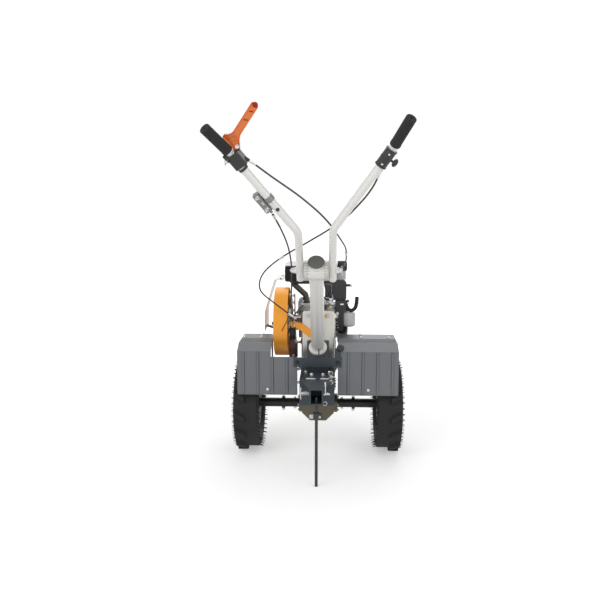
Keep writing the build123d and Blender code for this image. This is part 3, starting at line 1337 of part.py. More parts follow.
def all_parts():
    parts = {
        "gearbox_case": gearbox_case(),
        "gearbox_lower_case": gearbox_lower_case(),
        "hitch_bracket": hitch_bracket(),
        "cross_plate": cross_plate(),
        "column": column(),
        "column_cap": column_cap(),
        "column_head": column_head(),
        "hitch_box": hitch_box(),
        "hitch_pin": hitch_pin(),
        "clamp_screw": clamp_screw(),
        "depth_rod": depth_rod(),
        "engine_frame": engine_frame(),
        "front_bumper": front_bumper(),
        "engine_block": engine_block(),
        "cylinder": cylinder(),
        "cylinder_head": cylinder_head(),
        "fuel_tank": fuel_tank(),
        "fuel_cap": fuel_cap(),
        "muffler": muffler(),
        "exhaust_pipe": exhaust_pipe(),
        "air_filter": air_filter(),
        "carburettor": carburettor(),
        "oil_cup": oil_cup(),
        "tank_rail": tank_rail(),
        "air_duct": air_duct(),
        "intake_hose": intake_hose(),
        "recoil_starter": recoil_starter(),
        "gearbox_pulley": gearbox_pulley(),
        "engine_pulley": engine_pulley(),
        "drive_belt": drive_belt(),
        "belt_guard": belt_guard(),
        "guard_cover": guard_cover(),
        "cover_bar": cover_bar(),
        "tension_roller": tension_roller(),
        "orange_brace": orange_brace(),
        "tension_arm": tension_arm(),
        "cable_clutch": cable(CLUTCH_CABLE),
        "cable_throttle": cable(THROTTLE_CABLE),
        "cable_tension": cable(TENSION_CABLE),
    }
    right_tyre = wheel_side(tyre())
    right_rim = wheel_side(rim())
    pairs = {
        "tyre": right_tyre,
        "rim": right_rim,
        "half_axle": half_axle(),
        "fender_arm": fender_arm(),
    }
    for name, shape in pairs.items():
        parts[name + "_right"] = shape
        parts[name + "_left"] = mirrored(shape)
    parts["fender_right"] = fender()
    parts["fender_left"] = notched_fender()
    parts["handle_right"] = raised(handle_tube(1))
    parts["handle_left"] = mirrored(handle_tube(-1))
    parts["grip_right"] = raised(grip(1))
    parts["grip_left"] = mirrored(grip(-1))
    parts["lever_housing"] = lever_housing()
    parts["clutch_lever"] = mirrored(clutch_lever())
    parts["steel_lever"] = steel_lever()
    parts["throttle_control"] = throttle_control()
    return parts


def bounds(parts):
    boxes = [shape.bounding_box() for shape in parts.values()]
    low = [min(getattr(b.min, axis) for b in boxes) for axis in "XYZ"]
    high = [max(getattr(b.max, axis) for b in boxes) for axis in "XYZ"]
    return low, high


# The kept frame stands at the middle of the whole machine's box, on the floor
PARTS = all_parts()
LOW, HIGH = bounds(PARTS)
ORIGIN = Vector((LOW[0] + HIGH[0]) / 2, (LOW[1] + HIGH[1]) / 2, LOW[2])

os.makedirs("parts", exist_ok=True)
for node, shape in PARTS.items():
    export_step(Pos(*-ORIGIN) * shape, f"parts/{node}.step")
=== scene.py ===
"""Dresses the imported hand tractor: finishes, cables, tyre hairs, fasteners, fittings and a plain studio."""
import json
import math

import bmesh
import bpy
from bpy.props import FloatProperty, FloatVectorProperty, IntProperty, PointerProperty
from mathutils import Matrix, Vector


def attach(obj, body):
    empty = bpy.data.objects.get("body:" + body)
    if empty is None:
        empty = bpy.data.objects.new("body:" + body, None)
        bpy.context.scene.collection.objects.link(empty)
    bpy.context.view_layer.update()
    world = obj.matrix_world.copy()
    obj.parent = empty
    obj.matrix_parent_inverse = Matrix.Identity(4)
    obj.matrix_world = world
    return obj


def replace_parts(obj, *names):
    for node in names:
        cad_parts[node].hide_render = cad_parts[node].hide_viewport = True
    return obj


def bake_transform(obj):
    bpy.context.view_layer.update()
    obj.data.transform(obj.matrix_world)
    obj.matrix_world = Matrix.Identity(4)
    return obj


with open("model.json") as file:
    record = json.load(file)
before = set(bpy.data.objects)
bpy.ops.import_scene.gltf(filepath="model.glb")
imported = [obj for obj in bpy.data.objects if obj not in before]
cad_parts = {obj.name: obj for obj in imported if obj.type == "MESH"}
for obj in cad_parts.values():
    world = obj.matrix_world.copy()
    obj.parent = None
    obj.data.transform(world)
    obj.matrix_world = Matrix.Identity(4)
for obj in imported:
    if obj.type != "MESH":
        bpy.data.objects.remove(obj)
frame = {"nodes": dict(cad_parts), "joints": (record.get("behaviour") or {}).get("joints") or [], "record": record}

bl_info = {
    "name": "Hand tractor dressing",
    "version": (1, 1, 0),
    "blender": (4, 5, 0),
    "location": "View3D > Sidebar > Hand tractor",
    "description": "Adds the finish, cables and small parts of a two-wheel hand tractor to its packed frame",
    "category": "Object",
}

# Shapes are laid out in millimetres from the middle of the axle, which stands here in the kept frame
MM = 0.001
WHEEL_JOINT = next(joint for joint in frame["joints"] if joint["name"] == "wheel_right_roll")
AXLE = Vector((0.0, WHEEL_JOINT["pos_m"][1], WHEEL_JOINT["pos_m"][2]))

# Photograph's camera
IMAGE_WIDTH = 609
FOCAL_PIXELS = 652.0
SENSOR_MM = 36.0
CAMERA_FROM_AXLE = Vector((0.050, -2.856, 0.859))
CAMERA_PITCH = 8.20
CAMERA_YAW = 2.26

# Studio: the lamps hold their name, place, size and power, in metres and watts
WORLD_STRENGTH = 0.50
FLOOR_HALF = 40.0
FLOOR_ALBEDO = 0.90
FLOOR_GLOW = 0.38
FLOOR_FAR_GLOW = 0.40
FLOOR_NEAR = 1.2
FLOOR_FADE = 0.4
LAMP_AIM = Vector((0, 0, 0.5))
FAR_CLIP = 100.0
LAMPS = (
    ("key", (-2.4, -2.8, 3.0), 2.6, 48.0),
    ("fill", (2.6, -2.4, 2.0), 2.6, 22.0),
    ("back", (0.5, 3.0, 3.0), 3.0, 36.0),
)

# Directions that many pieces face: right, up, left and back towards the operator
X_WAY = (1, 0, 0)
Z_WAY = (0, 0, 1)
LEFT_WAY = (-1, 0, 0)
BACK_WAY = (0, -1, 0)

# Packed sizes that the pieces meet, in millimetres
WHEEL_X = 309.0
TYRE_HALF = 53.0
CASE_HALF = 71.0
CASE_BACK = -110.0
FENDER_BACK = -207.3
FENDER_TOP = 306.0
FENDER_INNER = 85.0
FENDER_OUTER = 335.0
BRACKET_BACK = -200.3
GUARD_LEFT = -187.0
GUARD_RIGHT = -129.0
COLUMN_BASE = Vector((0.0, -150.3, 281.0))
COLUMN_WAY = Vector((0.0, -0.6947, 0.7193))
COLUMN_LENGTH = 548.0
PIVOT = COLUMN_BASE + COLUMN_WAY * 505.0
COLUMN_RADIUS = 27.0
DISC_RADIUS = 37.0
HANDLE_RADIUS = 14.0
LEFT_ROOT = Vector((-261.0, -787.9, 1033.0))
LEFT_UP = Vector((-0.573, -0.425, 0.701))
LEFT_GRIP = Vector((-0.545, -0.623, 0.561))
RIGHT_ROOT = Vector((243.0, -763.0, 1050.2))
RIGHT_UP = Vector((0.537, -0.392, 0.747))
RIGHT_GRIP = Vector((0.378, -0.648, 0.661))
GRIP_START = 15.0
GRIP_END = 125.0
HITCH_TOP = 194.0
ROD_Y = -430.0
SCREW = (-405.0, 158.0)

# Routes of the control cables, from the handlebar to the machine
CLUTCH_ROUTE = (
    (-208, -763, 1016), (-182, -748, 998), (-150, -735, 974), (-108, -716, 945), (-64, -694, 915),
    (-22, -669, 882), (20, -640, 845), (53, -603, 808), (78, -545, 771), (97, -465, 741),
    (109, -380, 719), (113, -295, 693), (115, -210, 665), (115, -125, 644), (112, -40, 627),
    (107, 48, 611), (104, 128, 603),
)
THROTTLE_ROUTE = (
    (211, -712, 985), (197, -703, 952), (182, -690, 926), (164, -672, 901), (141, -648, 875),
    (108, -612, 839), (69, -572, 809), (23, -545, 779), (-14, -520, 757), (-50, -490, 735),
    (-80, -460, 718), (-119, -420, 694), (-146, -385, 675), (-175, -350, 653), (-209, -310, 622),
    (-232, -270, 584), (-237, -240, 546), (-224, -215, 519), (-195, -202, 494), (-165, -196, 470),
    (-135, -188, 446), (-104, -172, 420),
)
TENSION_ROUTE = (
    (-141, -680, 846), (-129, -650, 821), (-117, -610, 791), (-106, -562, 757), (-99, -510, 722),
    (-96, -455, 686), (-96, -395, 646), (-99, -335, 605), (-103, -280, 562), (-108, -228, 514),
    (-112, -188, 467), (-117, -163, 436),
)
# Name, route, length in metres, and where each starts to follow the handlebar and follows it in full
CABLES = (
    ("clutch", CLUTCH_ROUTE, 1.15, (109, -380, 719), (-64, -694, 915)),
    ("throttle", THROTTLE_ROUTE, 1.00, (-80, -460, 718), (141, -648, 875)),
    ("tension", TENSION_ROUTE, 0.67, (-99, -335, 605), (-129, -650, 821)),
)
CABLE_RADIUS = 3.0
CABLE_SIDES = 12
ROUTE_STEPS = 6
# Adjusters, by their distance along the cable
ADJUSTER_AT = {"clutch": 707.0, "throttle": 563.0}
ADJUSTER_LENGTH = 34.0
ADJUSTER_THREADS = 6
ADJUSTER_PITCH = 2.0

# Finishes that the photograph shows on single nodes, in place of the one their record slot has
OWN_FINISH = {
    "column_head": "white_paint", "depth_rod": "dark_steel", "steel_lever": "lever_steel",
    "exhaust_pipe": "rust_brown",
}

# Outline of the clutch lever from its foot, and the radius of each corner
LEVER_OUTLINE = (
    (-31.0, 42.0), (-43.0, 54.0), (-37.0, 64.0), (-14.0, 64.0),
    (57.0, 164.0), (77.0, 150.0), (10.0, 56.0), (10.0, -8.0),
)
LEVER_CORNERS = (4.0, 4.0, 4.0, 14.0, 11.0, 11.0, 14.0, 4.0)


class Field:
    """A shader socket that takes part in Python sums, products and comparisons."""

    def __init__(self, tree, socket):
        self.tree = tree
        self.socket = socket

    def maths(self, operation, *operands):
        node = self.tree.nodes.new("ShaderNodeMath")
        node.operation = operation
        for index, operand in enumerate(operands):
            plug(self.tree, node.inputs[index], operand)
        return Field(self.tree, node.outputs[0])

    def __add__(self, other):
        return self.maths("ADD", self, other)

    def __radd__(self, other):
        return self.maths("ADD", other, self)

    def __sub__(self, other):
        return self.maths("SUBTRACT", self, other)

    def __rsub__(self, other):
        return self.maths("SUBTRACT", other, self)

    def __mul__(self, other):
        return self.maths("MULTIPLY", self, other)

    def __rmul__(self, other):
        return self.maths("MULTIPLY", other, self)

    def __pow__(self, other):
        return self.maths("POWER", self, other)

    def clamp(self):
        return self.maths("MINIMUM", self.maths("MAXIMUM", self, 0.0), 1.0)


def plug(tree, socket, value):
    """Links a Field to an input, or sets the input to a plain value."""
    if isinstance(value, Field):
        tree.links.new(value.socket, socket)
    elif hasattr(value, "__len__") and len(value) == 3 and socket.type == "RGBA":
        socket.default_value = (*value, 1.0)
    else:
        socket.default_value = value


class Finish:
    """One material: its node tree, with the few recipes that the finishes share."""

    def __init__(self, name):
        self.material = bpy.data.materials.new(name)
        self.material.use_nodes = True
        self.tree = self.material.node_tree
        self.shader = self.tree.nodes["Principled BSDF"]

    def node(self, kind, output=0, inputs=None, **settings):
        """Any node, with its inputs by name or number, as a Field of one output."""
        node = self.tree.nodes.new(kind)
        for key, value in settings.items():
            setattr(node, key, value)
        for key, value in (inputs or {}).items():
            plug(self.tree, node.inputs[key], value)
        return Field(self.tree, node.outputs[output])

    def place(self):
        return self.node("ShaderNodeTexCoord", "Object")

    def facing(self, axis):
        normal = self.node("ShaderNodeNewGeometry", "Normal")
        return self.node("ShaderNodeSeparateXYZ", axis, {0: normal})

    def noise(self, scale, detail=3.0, roughness=0.5, stretch=None):
        where = self.place()
        if stretch:
            where = self.node("ShaderNodeMapping", 0, {"Vector": where, "Scale": stretch})
        inputs = {"Vector": where, "Scale": scale, "Detail": detail, "Roughness": roughness}
        return self.node("ShaderNodeTexNoise", "Fac", inputs)

    def cells(self, scale):
        return self.node("ShaderNodeTexVoronoi", "Distance", {"Vector": self.place(), "Scale": scale})

    def between(self, low, high, factor):
        return self.node("ShaderNodeMix", 2, {0: factor, 6: low, 7: high}, data_type="RGBA")

    def bump(self, height, strength, distance):
        return self.node("ShaderNodeBump", 0, {"Height": height, "Strength": strength, "Distance": distance})

    def set(self, **values):
        for key, value in values.items():
            plug(self.tree, self.shader.inputs[key.replace("_", " ")], value)
        return self.material


def painted(name, colour, shade, rough=0.35, coat=0.25, peel=0.2):
    """Sprayed paint: faint cloudiness, orange peel, and dust that dulls what faces up."""
    finish = Finish(name)
    cloud = finish.noise(9.0, 4.0)
    dust = (finish.facing("Z") * finish.noise(26.0, 5.0, 0.6) * 1.4 - 0.35).clamp()
    tone = finish.between(colour, shade, (cloud * 2.2 - 0.6).clamp())
    surface = finish.noise(420.0, 2.0)
    return finish.set(
        Base_Color=tone,
        Roughness=rough + dust * 0.2 + finish.noise(60.0, 3.0) * 0.08,
        Coat_Weight=coat,
        Coat_Roughness=0.12,
        Normal=finish.bump(surface, peel, 0.0004),
    )


def moulded(name, colour, rough=0.42, grain=700.0, depth=0.0003):
    """Moulded plastic with a fine leathery grain."""
    finish = Finish(name)
    pale = [c * 1.6 + 0.003 for c in colour]
    return finish.set(
        Base_Color=finish.between(colour, pale, finish.noise(30.0, 4.0) ** 2.0),
        Roughness=rough + finish.noise(40.0, 4.0) * 0.15,
        Specular_IOR_Level=0.25,
        Normal=finish.bump(finish.cells(grain), 0.35, depth),
    )


def cast_metal(name, colour, dirt, metallic=0.65, rough=0.45, soil=0.5):
    """Sand-cast alloy: pebbled skin, with oil and dust lying in it."""
    finish = Finish(name)
    patch = (finish.noise(14.0, 6.0, 0.65) * 2.6 - 1.6 + soil * 0.6).clamp()
    return finish.set(
        Base_Color=finish.between(colour, dirt, patch),
        Metallic=metallic * (1.0 - patch * 0.6),
        Roughness=rough + patch * 0.25,
        Normal=finish.bump(finish.noise(330.0, 5.0, 0.7), 0.45, 0.0006),
    )


def rolled_steel(name, colour, rough=0.3, scratch=(6.0, 6.0, 160.0), metallic=0.85):
    """Drawn or plated metal with fine lines along it."""
    finish = Finish(name)
    lines = finish.noise(60.0, 4.0, 0.6, stretch=scratch)
    dull = [c * 0.62 for c in colour]
    return finish.set(
        Base_Color=finish.between(colour, dull, (lines * 1.8 - 0.5).clamp()),
        Metallic=metallic,
        Roughness=rough + lines * 0.16,
        Normal=finish.bump(lines, 0.12, 0.0002),
    )


def rubber(name, colour, rough=0.8, dust=0.35):
    """Tyre or hose rubber: pitted skin with grey bloom."""
    finish = Finish(name)
    bloom = (finish.noise(17.0, 5.0, 0.65) * 2.2 - 1.3 + dust).clamp()
    grey = [c * 2.2 + 0.010 for c in colour]
    return finish.set(
        Base_Color=finish.between(colour, grey, bloom),
        Roughness=rough - finish.noise(50.0, 2.0) * 0.18,
        Specular_IOR_Level=0.22,
        Normal=finish.bump(finish.noise(260.0, 4.0, 0.6), 0.5, 0.0007),
    )


def clear_cup(name):
    """Milky see-through plastic."""
    finish = Finish(name)
    return finish.set(
        Base_Color=finish.between((0.72, 0.72, 0.74), (0.82, 0.82, 0.84), finish.noise(22.0, 3.0)),
        Roughness=0.28,
        Transmission_Weight=0.2,
        Normal=finish.bump(finish.noise(120.0, 2.0), 0.08, 0.0003),
    )


def shaded(colour, share=0.86):
    return tuple(c * share for c in colour)


def finishes():
    """Recipe of each finish by slot name, from the colours in the panel."""
    look = bpy.context.scene.hand_tractor
    white, orange, sheet = tuple(look.frame_white), tuple(look.guard_orange), tuple(look.fender_grey)
    return {
        "white_paint": lambda n: painted(n, white, shaded(white), 0.33),
        "orange_paint": lambda n: painted(n, orange, shaded(orange), 0.34),
        "orange_plastic": lambda n: moulded(n, tuple(look.lever_orange), 0.3, 500.0),
        "grey_sheet": lambda n: painted(n, sheet, shaded(sheet, 0.75), 0.3, 0.4),
        "hitch_paint": lambda n: painted(n, (0.019, 0.025, 0.029), (0.012, 0.016, 0.019), 0.34, 0.2),
        "black_paint": lambda n: painted(n, (0.007, 0.007, 0.008), (0.012, 0.012, 0.012), 0.34, 0.3),
        "case_paint": lambda n: cast_metal(n, (0.40, 0.38, 0.33), (0.25, 0.23, 0.20), 0.25, 0.42, 0.3),
        # lower_case_paint is the case's own light paint made several times darker: painted shade on the lower
        # case, which lies in shade under the fenders
        "lower_case_paint": lambda n: cast_metal(n, (0.085, 0.082, 0.070), (0.035, 0.033, 0.028), 0.3, 0.5),
        "engine_alloy": lambda n: cast_metal(n, (0.36, 0.36, 0.35), (0.085, 0.078, 0.066), 0.8, 0.38),
        "tank_paint": lambda n: painted(n, (0.50, 0.50, 0.49), (0.43, 0.43, 0.42), 0.28, 0.5),
        "black_plastic": lambda n: moulded(n, (0.009, 0.009, 0.009), 0.42),
        "muffler_black": lambda n: cast_metal(n, (0.014, 0.013, 0.012), (0.04, 0.03, 0.022), 0.4, 0.5, 0.2),
        "soft_rubber": lambda n: rubber(n, (0.010, 0.010, 0.011), 0.7, 0.1),
        "tyre_rubber": lambda n: rubber(n, (0.006, 0.006, 0.006), 0.82, 0.15),
        "rim_paint": lambda n: painted(n, (0.50, 0.50, 0.48), (0.42, 0.42, 0.40), 0.4, 0.2),
        "plain_steel": lambda n: rolled_steel(n, (0.55, 0.55, 0.54)),
        "cap_grey": lambda n: moulded(n, (0.085, 0.082, 0.074), 0.5, 500.0),
        "cup_clear": clear_cup,
        "cable_black": lambda n: rubber(n, (0.007, 0.007, 0.008), 0.4, 0.0),
        "dark_steel": lambda n: rolled_steel(n, (0.060, 0.058, 0.057), 0.36, metallic=0.4),
        "lever_steel": lambda n: rolled_steel(n, (0.27, 0.27, 0.27), 0.3, metallic=0.7),
        "bright_zinc": lambda n: rolled_steel(n, (0.74, 0.74, 0.73), 0.22),
        "brass": lambda n: rolled_steel(n, (0.62, 0.36, 0.12), 0.26),
        "cream_plastic": lambda n: moulded(n, (0.60, 0.60, 0.47), 0.45),
        "dark_red": lambda n: painted(n, (0.13, 0.022, 0.012), (0.07, 0.014, 0.009), 0.4, 0.15),
        "lever_tip": lambda n: moulded(n, (0.30, 0.018, 0.006), 0.35, 500.0),
        "rust_brown": lambda n: cast_metal(n, (0.060, 0.049, 0.040), (0.028, 0.022, 0.018), 0.5, 0.45, 0.4),
    }


def finish_named(name):
    """The material of a finish, made when it is first asked for."""
    return bpy.data.materials.get(name) or finishes()[name](name)


def turn(sides):
    """Angles of a full turn in equal steps."""
    return [2 * math.pi * index / sides for index in range(sides)]


def across(axis):
    """Two directions square to an axis and to each other."""
    side = axis.orthogonal().normalized()
    return side, axis.cross(side)


def rounded(outline, radii, steps=5):
    """An outline whose corners are eased by arcs of about the radii given."""
    points = []
    count = len(outline)
    for index, corner in enumerate(outline):
        corner = Vector(corner)
        ends = []
        for other in (outline[index - 1], outline[(index + 1) % count]):
            way = Vector(other) - corner
            ends.append(corner + way.normalized() * min(radii[index], 0.45 * way.length))
        for step in range(steps + 1):
            t = step / steps
            points.append(ends[0] * (1 - t) ** 2 + corner * 2 * t * (1 - t) + ends[1] * t ** 2)
    return points


class Form:
    """Closed shapes gathered in millimetres from the axle, to be made into one piece."""

    def __init__(self):
        self.mesh = bmesh.new()

    def skin(self, rings, closed=False):
        """Joins rings of equal count with quads, and caps both ends unless the run closes on itself."""
        made = [[self.mesh.verts.new(point) for point in ring] for ring in rings]
        pairs = list(zip(made, made[1:]))
        if closed:
            pairs.append((made[-1], made[0]))
        else:
            self.mesh.faces.new(made[0][::-1])
            self.mesh.faces.new(made[-1])
        for low, high in pairs:
            for index in range(len(low)):
                other = (index + 1) % len(low)
                self.mesh.faces.new((low[index], low[other], high[other], high[index]))
        return self

    def turned(self, place, axis, profile, sides=24):
        """A lathe form whose profile holds pairs of distance along the axis and radius."""
        place, axis = Vector(place), Vector(axis).normalized()
        u, v = across(axis)
        rings = []
        for along, radius in profile:
            centre = place + axis * along
            rings.append([centre + (u * math.cos(a) + v * math.sin(a)) * radius for a in turn(sides)])
        return self.skin(rings)

    def rod(self, start, end, radius, sides=12, ease=0.4):
        """A plain round bar with eased ends."""
        start, end = Vector(start), Vector(end)
        length = (end - start).length
        profile = ((0, radius - ease), (ease, radius), (length - ease, radius), (length, radius - ease))
        return self.turned(start, end - start, profile, sides)

    def tube(self, points, radius, sides=8, closed=False):
        """A bar along a line of points, of one radius or of one radius for each point."""
        points = [Vector(point) for point in points]
        count = len(points)
        rings = []
        u = None
        for index, point in enumerate(points):
            before = points[index - 1] if index or closed else point
            after = points[(index + 1) % count] if index + 1 < count or closed else point
            way = (after - before).normalized()
            u = way.orthogonal() if u is None else u - way * u.dot(way)
            u.normalize()
            v = way.cross(u)
            size = radius[index] if hasattr(radius, "__len__") else radius
            rings.append([point + (u * math.cos(a) + v * math.sin(a)) * size for a in turn(sides)])
        return self.skin(rings, closed)

    def ring(self, centre, axis, radius, wire, sides=8, count=40):
        u, v = across(Vector(axis).normalized())
        centre = Vector(centre)
        points = [centre + (u * math.cos(a) + v * math.sin(a)) * radius for a in turn(count)]
        return self.tube(points, wire, sides, closed=True)

    def weld(self, centre, axis, radius, wire, count=120, ripples=30):
        """A bead of weld with its scales."""
        u, v = across(Vector(axis).normalized())
        centre = Vector(centre)
        points = [centre + (u * math.cos(a) + v * math.sin(a)) * radius for a in turn(count)]
        sizes = [wire * (1 + 0.14 * math.sin(a * ripples) + 0.1 * math.sin(a * 5)) for a in turn(count)]
        return self.tube(points, sizes, 8, closed=True)

    def coil(self, start, end, radius, wire, turns, hooks=8.0):
        """A tension spring with its two straight hooks."""
        start, end = Vector(start), Vector(end)
        way = (end - start).normalized()
        u, v = across(way)
        points = [start]
        low, high = start + way * hooks, end - way * hooks
        steps = int(turns * 12)
        for step in range(steps + 1):
            angle = 2 * math.pi * turns * step / steps
            centre = low.lerp(high, step / steps)
            points.append(centre + (u * math.cos(angle) + v * math.sin(angle)) * radius)
        points.append(end)
        return self.tube(points, wire, 6)

    def add(self, mesh, centre, x_way, z_way):
        """Moves another mesh's own x and z onto the directions given, and takes it in."""
        z = Vector(z_way).normalized()
        x = Vector(x_way)
        x = (x - z * x.dot(z)).normalized()
        y = z.cross(x)
        matrix = Matrix((x, y, z)).transposed().to_4x4()
        matrix.translation = Vector(centre)
        held = bpy.data.meshes.new("held")
        mesh.to_mesh(held)
        mesh.free()
        held.transform(matrix)
        self.mesh.from_mesh(held)
        bpy.data.meshes.remove(held)
        return self

    def plate(self, outline, thick, centre, x_way=X_WAY, z_way=Z_WAY, edge=0.5, pocket=None):
        """A flat outline of (x, y) pairs, square to z_way, with eased edges and perhaps a sunk middle."""
        sheet = Form()
        half = thick / 2
        sheet.skin([[Vector((x, y, z)) for x, y in outline] for z in (-half, half)])
        bmesh.ops.recalc_face_normals(sheet.mesh, faces=sheet.mesh.faces[:])
        if pocket:
            ends = [face for face in sheet.mesh.faces if len(face.verts) > 4]
            for face in ends:
                bmesh.ops.inset_region(sheet.mesh, faces=[face], thickness=pocket[0], depth=-pocket[1])
        sharp = [e for e in sheet.mesh.edges if e.calc_face_angle(0.0) > math.radians(40.0)]
        bmesh.ops.bevel(sheet.mesh, geom=sharp, offset=edge, segments=2, affect="EDGES", clamp_overlap=True)
        return self.add(sheet.mesh, centre, x_way, z_way)

    def slab(self, centre, size, x_way=X_WAY, z_way=Z_WAY, edge=0.6):
        x, y, z = (extent / 2 for extent in size)
        outline = ((-x, -y), (x, -y), (x, y), (-x, y))
        return self.plate(outline, 2 * z, centre, x_way, z_way, edge)

    def slabs(self, blocks):
        """Blocks given as middle, size and edge."""
        for centre, size, edge in blocks:
            self.slab(centre, size, edge=edge)
        return self

    def bolt(self, place, axis, width=13.0, washer=True, stud=0.0):
        """A hexagon head on its washer, with a chamfered top, and perhaps a stud through it."""
        place, axis = Vector(place), Vector(axis).normalized()
        corner = width / math.sqrt(3)
        if washer:
            disc = corner * 1.35
            self.turned(place, axis, ((0, disc - 0.3), (0.3, disc), (1.2, disc), (1.5, disc - 0.3)), 28)
            place = place + axis * 1.5
        high = width * 0.55
        self.turned(place, axis, ((0, corner), (high * 0.8, corner), (high, corner * 0.86)), 6)
        if stud:
            thread = width * 0.28
            profile = [(high, thread)]
            rounds = int(stud / 1.5)
            for index in range(rounds):
                profile += [(high + 1.5 * index + 0.4, thread), (high + 1.5 * index + 1.1, thread * 0.86)]
            profile.append((high + stud, thread * 0.7))
            self.turned(place, axis, profile, 16)
        return self

    def bolts(self, places, axis, width, stud=0.0):
        for place in places:
            self.bolt(place, axis, width, stud=stud)
        return self

    def screws(self, places, axis, radius):
        """Domed screw heads with a hollow for the key."""
        profile = (
            (0, radius), (radius * 0.35, radius), (radius * 0.7, radius * 0.72),
            (radius * 0.78, radius * 0.45), (radius * 0.4, radius * 0.40), (radius * 0.38, 0.2),
        )
        for place in places:
            self.turned(place, axis, profile, 20)
        return self


def piece(name, form, finish, body, smooth=38.0):
    """Turns a form into a shown piece with its finish, riding on a body."""
    bmesh.ops.recalc_face_normals(form.mesh, faces=form.mesh.faces[:])
    form.mesh.transform(Matrix.Translation(AXLE) @ Matrix.Scale(MM, 4))
    mesh = bpy.data.meshes.new(name)
    form.mesh.to_mesh(mesh)
    form.mesh.free()
    mesh.shade_smooth()
    mesh.set_sharp_from_angle(angle=math.radians(smooth))
    mesh.materials.append(finish_named(finish))
    thing = bpy.data.objects.new(name, mesh)
    bpy.context.scene.collection.objects.link(thing)
    if body:
        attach(thing, body)
    return thing


class Look(bpy.types.PropertyGroup):
    """Colours and sizes that a user would change."""
    frame_white: FloatVectorProperty(
        name="Frame white", description="Paint of the column, handlebar and cover",
        subtype="COLOR", size=3, min=0.0, max=1.0, default=(0.60, 0.57, 0.52),
    )
    guard_orange: FloatVectorProperty(
        name="Guard orange", description="Paint of the belt guard and the brace",
        subtype="COLOR", size=3, min=0.0, max=1.0, default=(0.76, 0.155, 0.002),
    )
    lever_orange: FloatVectorProperty(
        name="Lever orange", description="Plastic of the clutch lever",
        subtype="COLOR", size=3, min=0.0, max=1.0, default=(0.78, 0.135, 0.008),
    )
    fender_grey: FloatVectorProperty(
        name="Fender grey", description="Paint of the two fenders",
        subtype="COLOR", size=3, min=0.0, max=1.0, default=(0.056, 0.061, 0.064),
    )
    hair_count: IntProperty(
        name="Hairs", description="Moulding hairs round each shoulder of a tyre", default=46, min=0, max=120,
    )
    hair_inside: FloatProperty(
        name="Inner hairs", description="How far the hairs stand out of a tyre's inner side",
        subtype="DISTANCE", unit="LENGTH", default=0.016, min=0.0, max=0.03,
    )
    hair_outside: FloatProperty(
        name="Outer hairs", description="How far the hairs stand out of a tyre's outer side",
        subtype="DISTANCE", unit="LENGTH", default=0.009, min=0.0, max=0.03,
    )


class DRESS_OT_stage(bpy.types.Operator):
    """Floor, soft lights and the photograph's camera"""
    bl_idname = "dress.stage"
    bl_label = "Stage"

    def execute(self, context):
        scene = context.scene
        scene.view_settings.view_transform = "Standard"
        self.sky(scene)
        self.floor(scene)
        for name, place, size, power in LAMPS:
            light = bpy.data.lights.new(name, "AREA")
            light.size = size
            light.energy = power
            lamp = bpy.data.objects.new(name, light)
            lamp.location = place
            aim = LAMP_AIM - Vector(place)
            lamp.rotation_euler = aim.to_track_quat("-Z", "Y").to_euler()
            scene.collection.objects.link(lamp)
        lens = bpy.data.cameras.new("camera")
        lens.sensor_width = SENSOR_MM
        lens.lens = FOCAL_PIXELS / IMAGE_WIDTH * SENSOR_MM
        lens.clip_end = FAR_CLIP
        camera = bpy.data.objects.new("camera", lens)
        camera.location = AXLE + CAMERA_FROM_AXLE
        camera.rotation_euler = (math.radians(90.0 - CAMERA_PITCH), 0.0, math.radians(CAMERA_YAW))
        scene.collection.objects.link(camera)
        scene.camera = camera
        return {"FINISHED"}

    def sky(self, scene):
        """White to the camera and in reflections, and of a plain strength as light."""
        world = bpy.data.worlds.new("studio")
        world.use_nodes = True
        tree = world.node_tree
        path = tree.nodes.new("ShaderNodeLightPath")
        seen = Field(tree, path.outputs["Is Camera Ray"])
        mirrored = Field(tree, path.outputs["Is Glossy Ray"])
        through = Field(tree, path.outputs["Is Transmission Ray"])
        plain = (seen + mirrored + through).clamp()
        background = tree.nodes["Background"]
        background.inputs[0].default_value = (1.0, 1.0, 1.0, 1.0)
        plug(tree, background.inputs[1], WORLD_STRENGTH + plain * (1.0 - WORLD_STRENGTH))
        scene.world = world

    def floor(self, scene):
        """Pale floor that keeps the shadow, and glows a little to the camera so that it ends in white."""
        mesh = bpy.data.meshes.new("floor")
        half = FLOOR_HALF
        corners = [(-half, -half, 0), (half, -half, 0), (half, half, 0), (-half, half, 0)]
        mesh.from_pydata(corners, [], [(0, 1, 2, 3)])
        floor = bpy.data.objects.new("floor", mesh)
        scene.collection.objects.link(floor)
        finish = Finish("floor_pale")
        path = finish.tree.nodes.new("ShaderNodeLightPath")
        seen = Field(finish.tree, path.outputs["Is Camera Ray"])
        mirrored = Field(finish.tree, path.outputs["Is Glossy Ray"])
        through = Field(finish.tree, path.outputs["Is Transmission Ray"])
        spot = finish.node("ShaderNodeNewGeometry", "Position")
        away = finish.node("ShaderNodeVectorMath", "Value", {0: spot}, operation="LENGTH")
        glow = FLOOR_GLOW + ((away - FLOOR_NEAR) * FLOOR_FADE).clamp() * FLOOR_FAR_GLOW
        mesh.materials.append(finish.set(
            Base_Color=(FLOOR_ALBEDO, FLOOR_ALBEDO, FLOOR_ALBEDO),
            Roughness=1.0,
            Specular_IOR_Level=0.0,
            Emission_Color=(1.0, 1.0, 1.0),
            Emission_Strength=(seen + mirrored + through).clamp() * glow,
        ))


class DRESS_OT_carried(bpy.types.Operator):
    """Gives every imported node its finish"""
    bl_idname = "dress.carried"
    bl_label = "Finishes of the packed pieces"

    def execute(self, context):
        for entry in frame["record"]["subparts"]:
            node = frame["nodes"][entry["node"]]
            finish = finish_named(OWN_FINISH.get(entry["node"], entry["material_slot"]))
            if not node.data.materials:
                node.data.materials.append(finish)
            for slot in node.material_slots:
                slot.link = "OBJECT"
                slot.material = finish
        return {"FINISHED"}


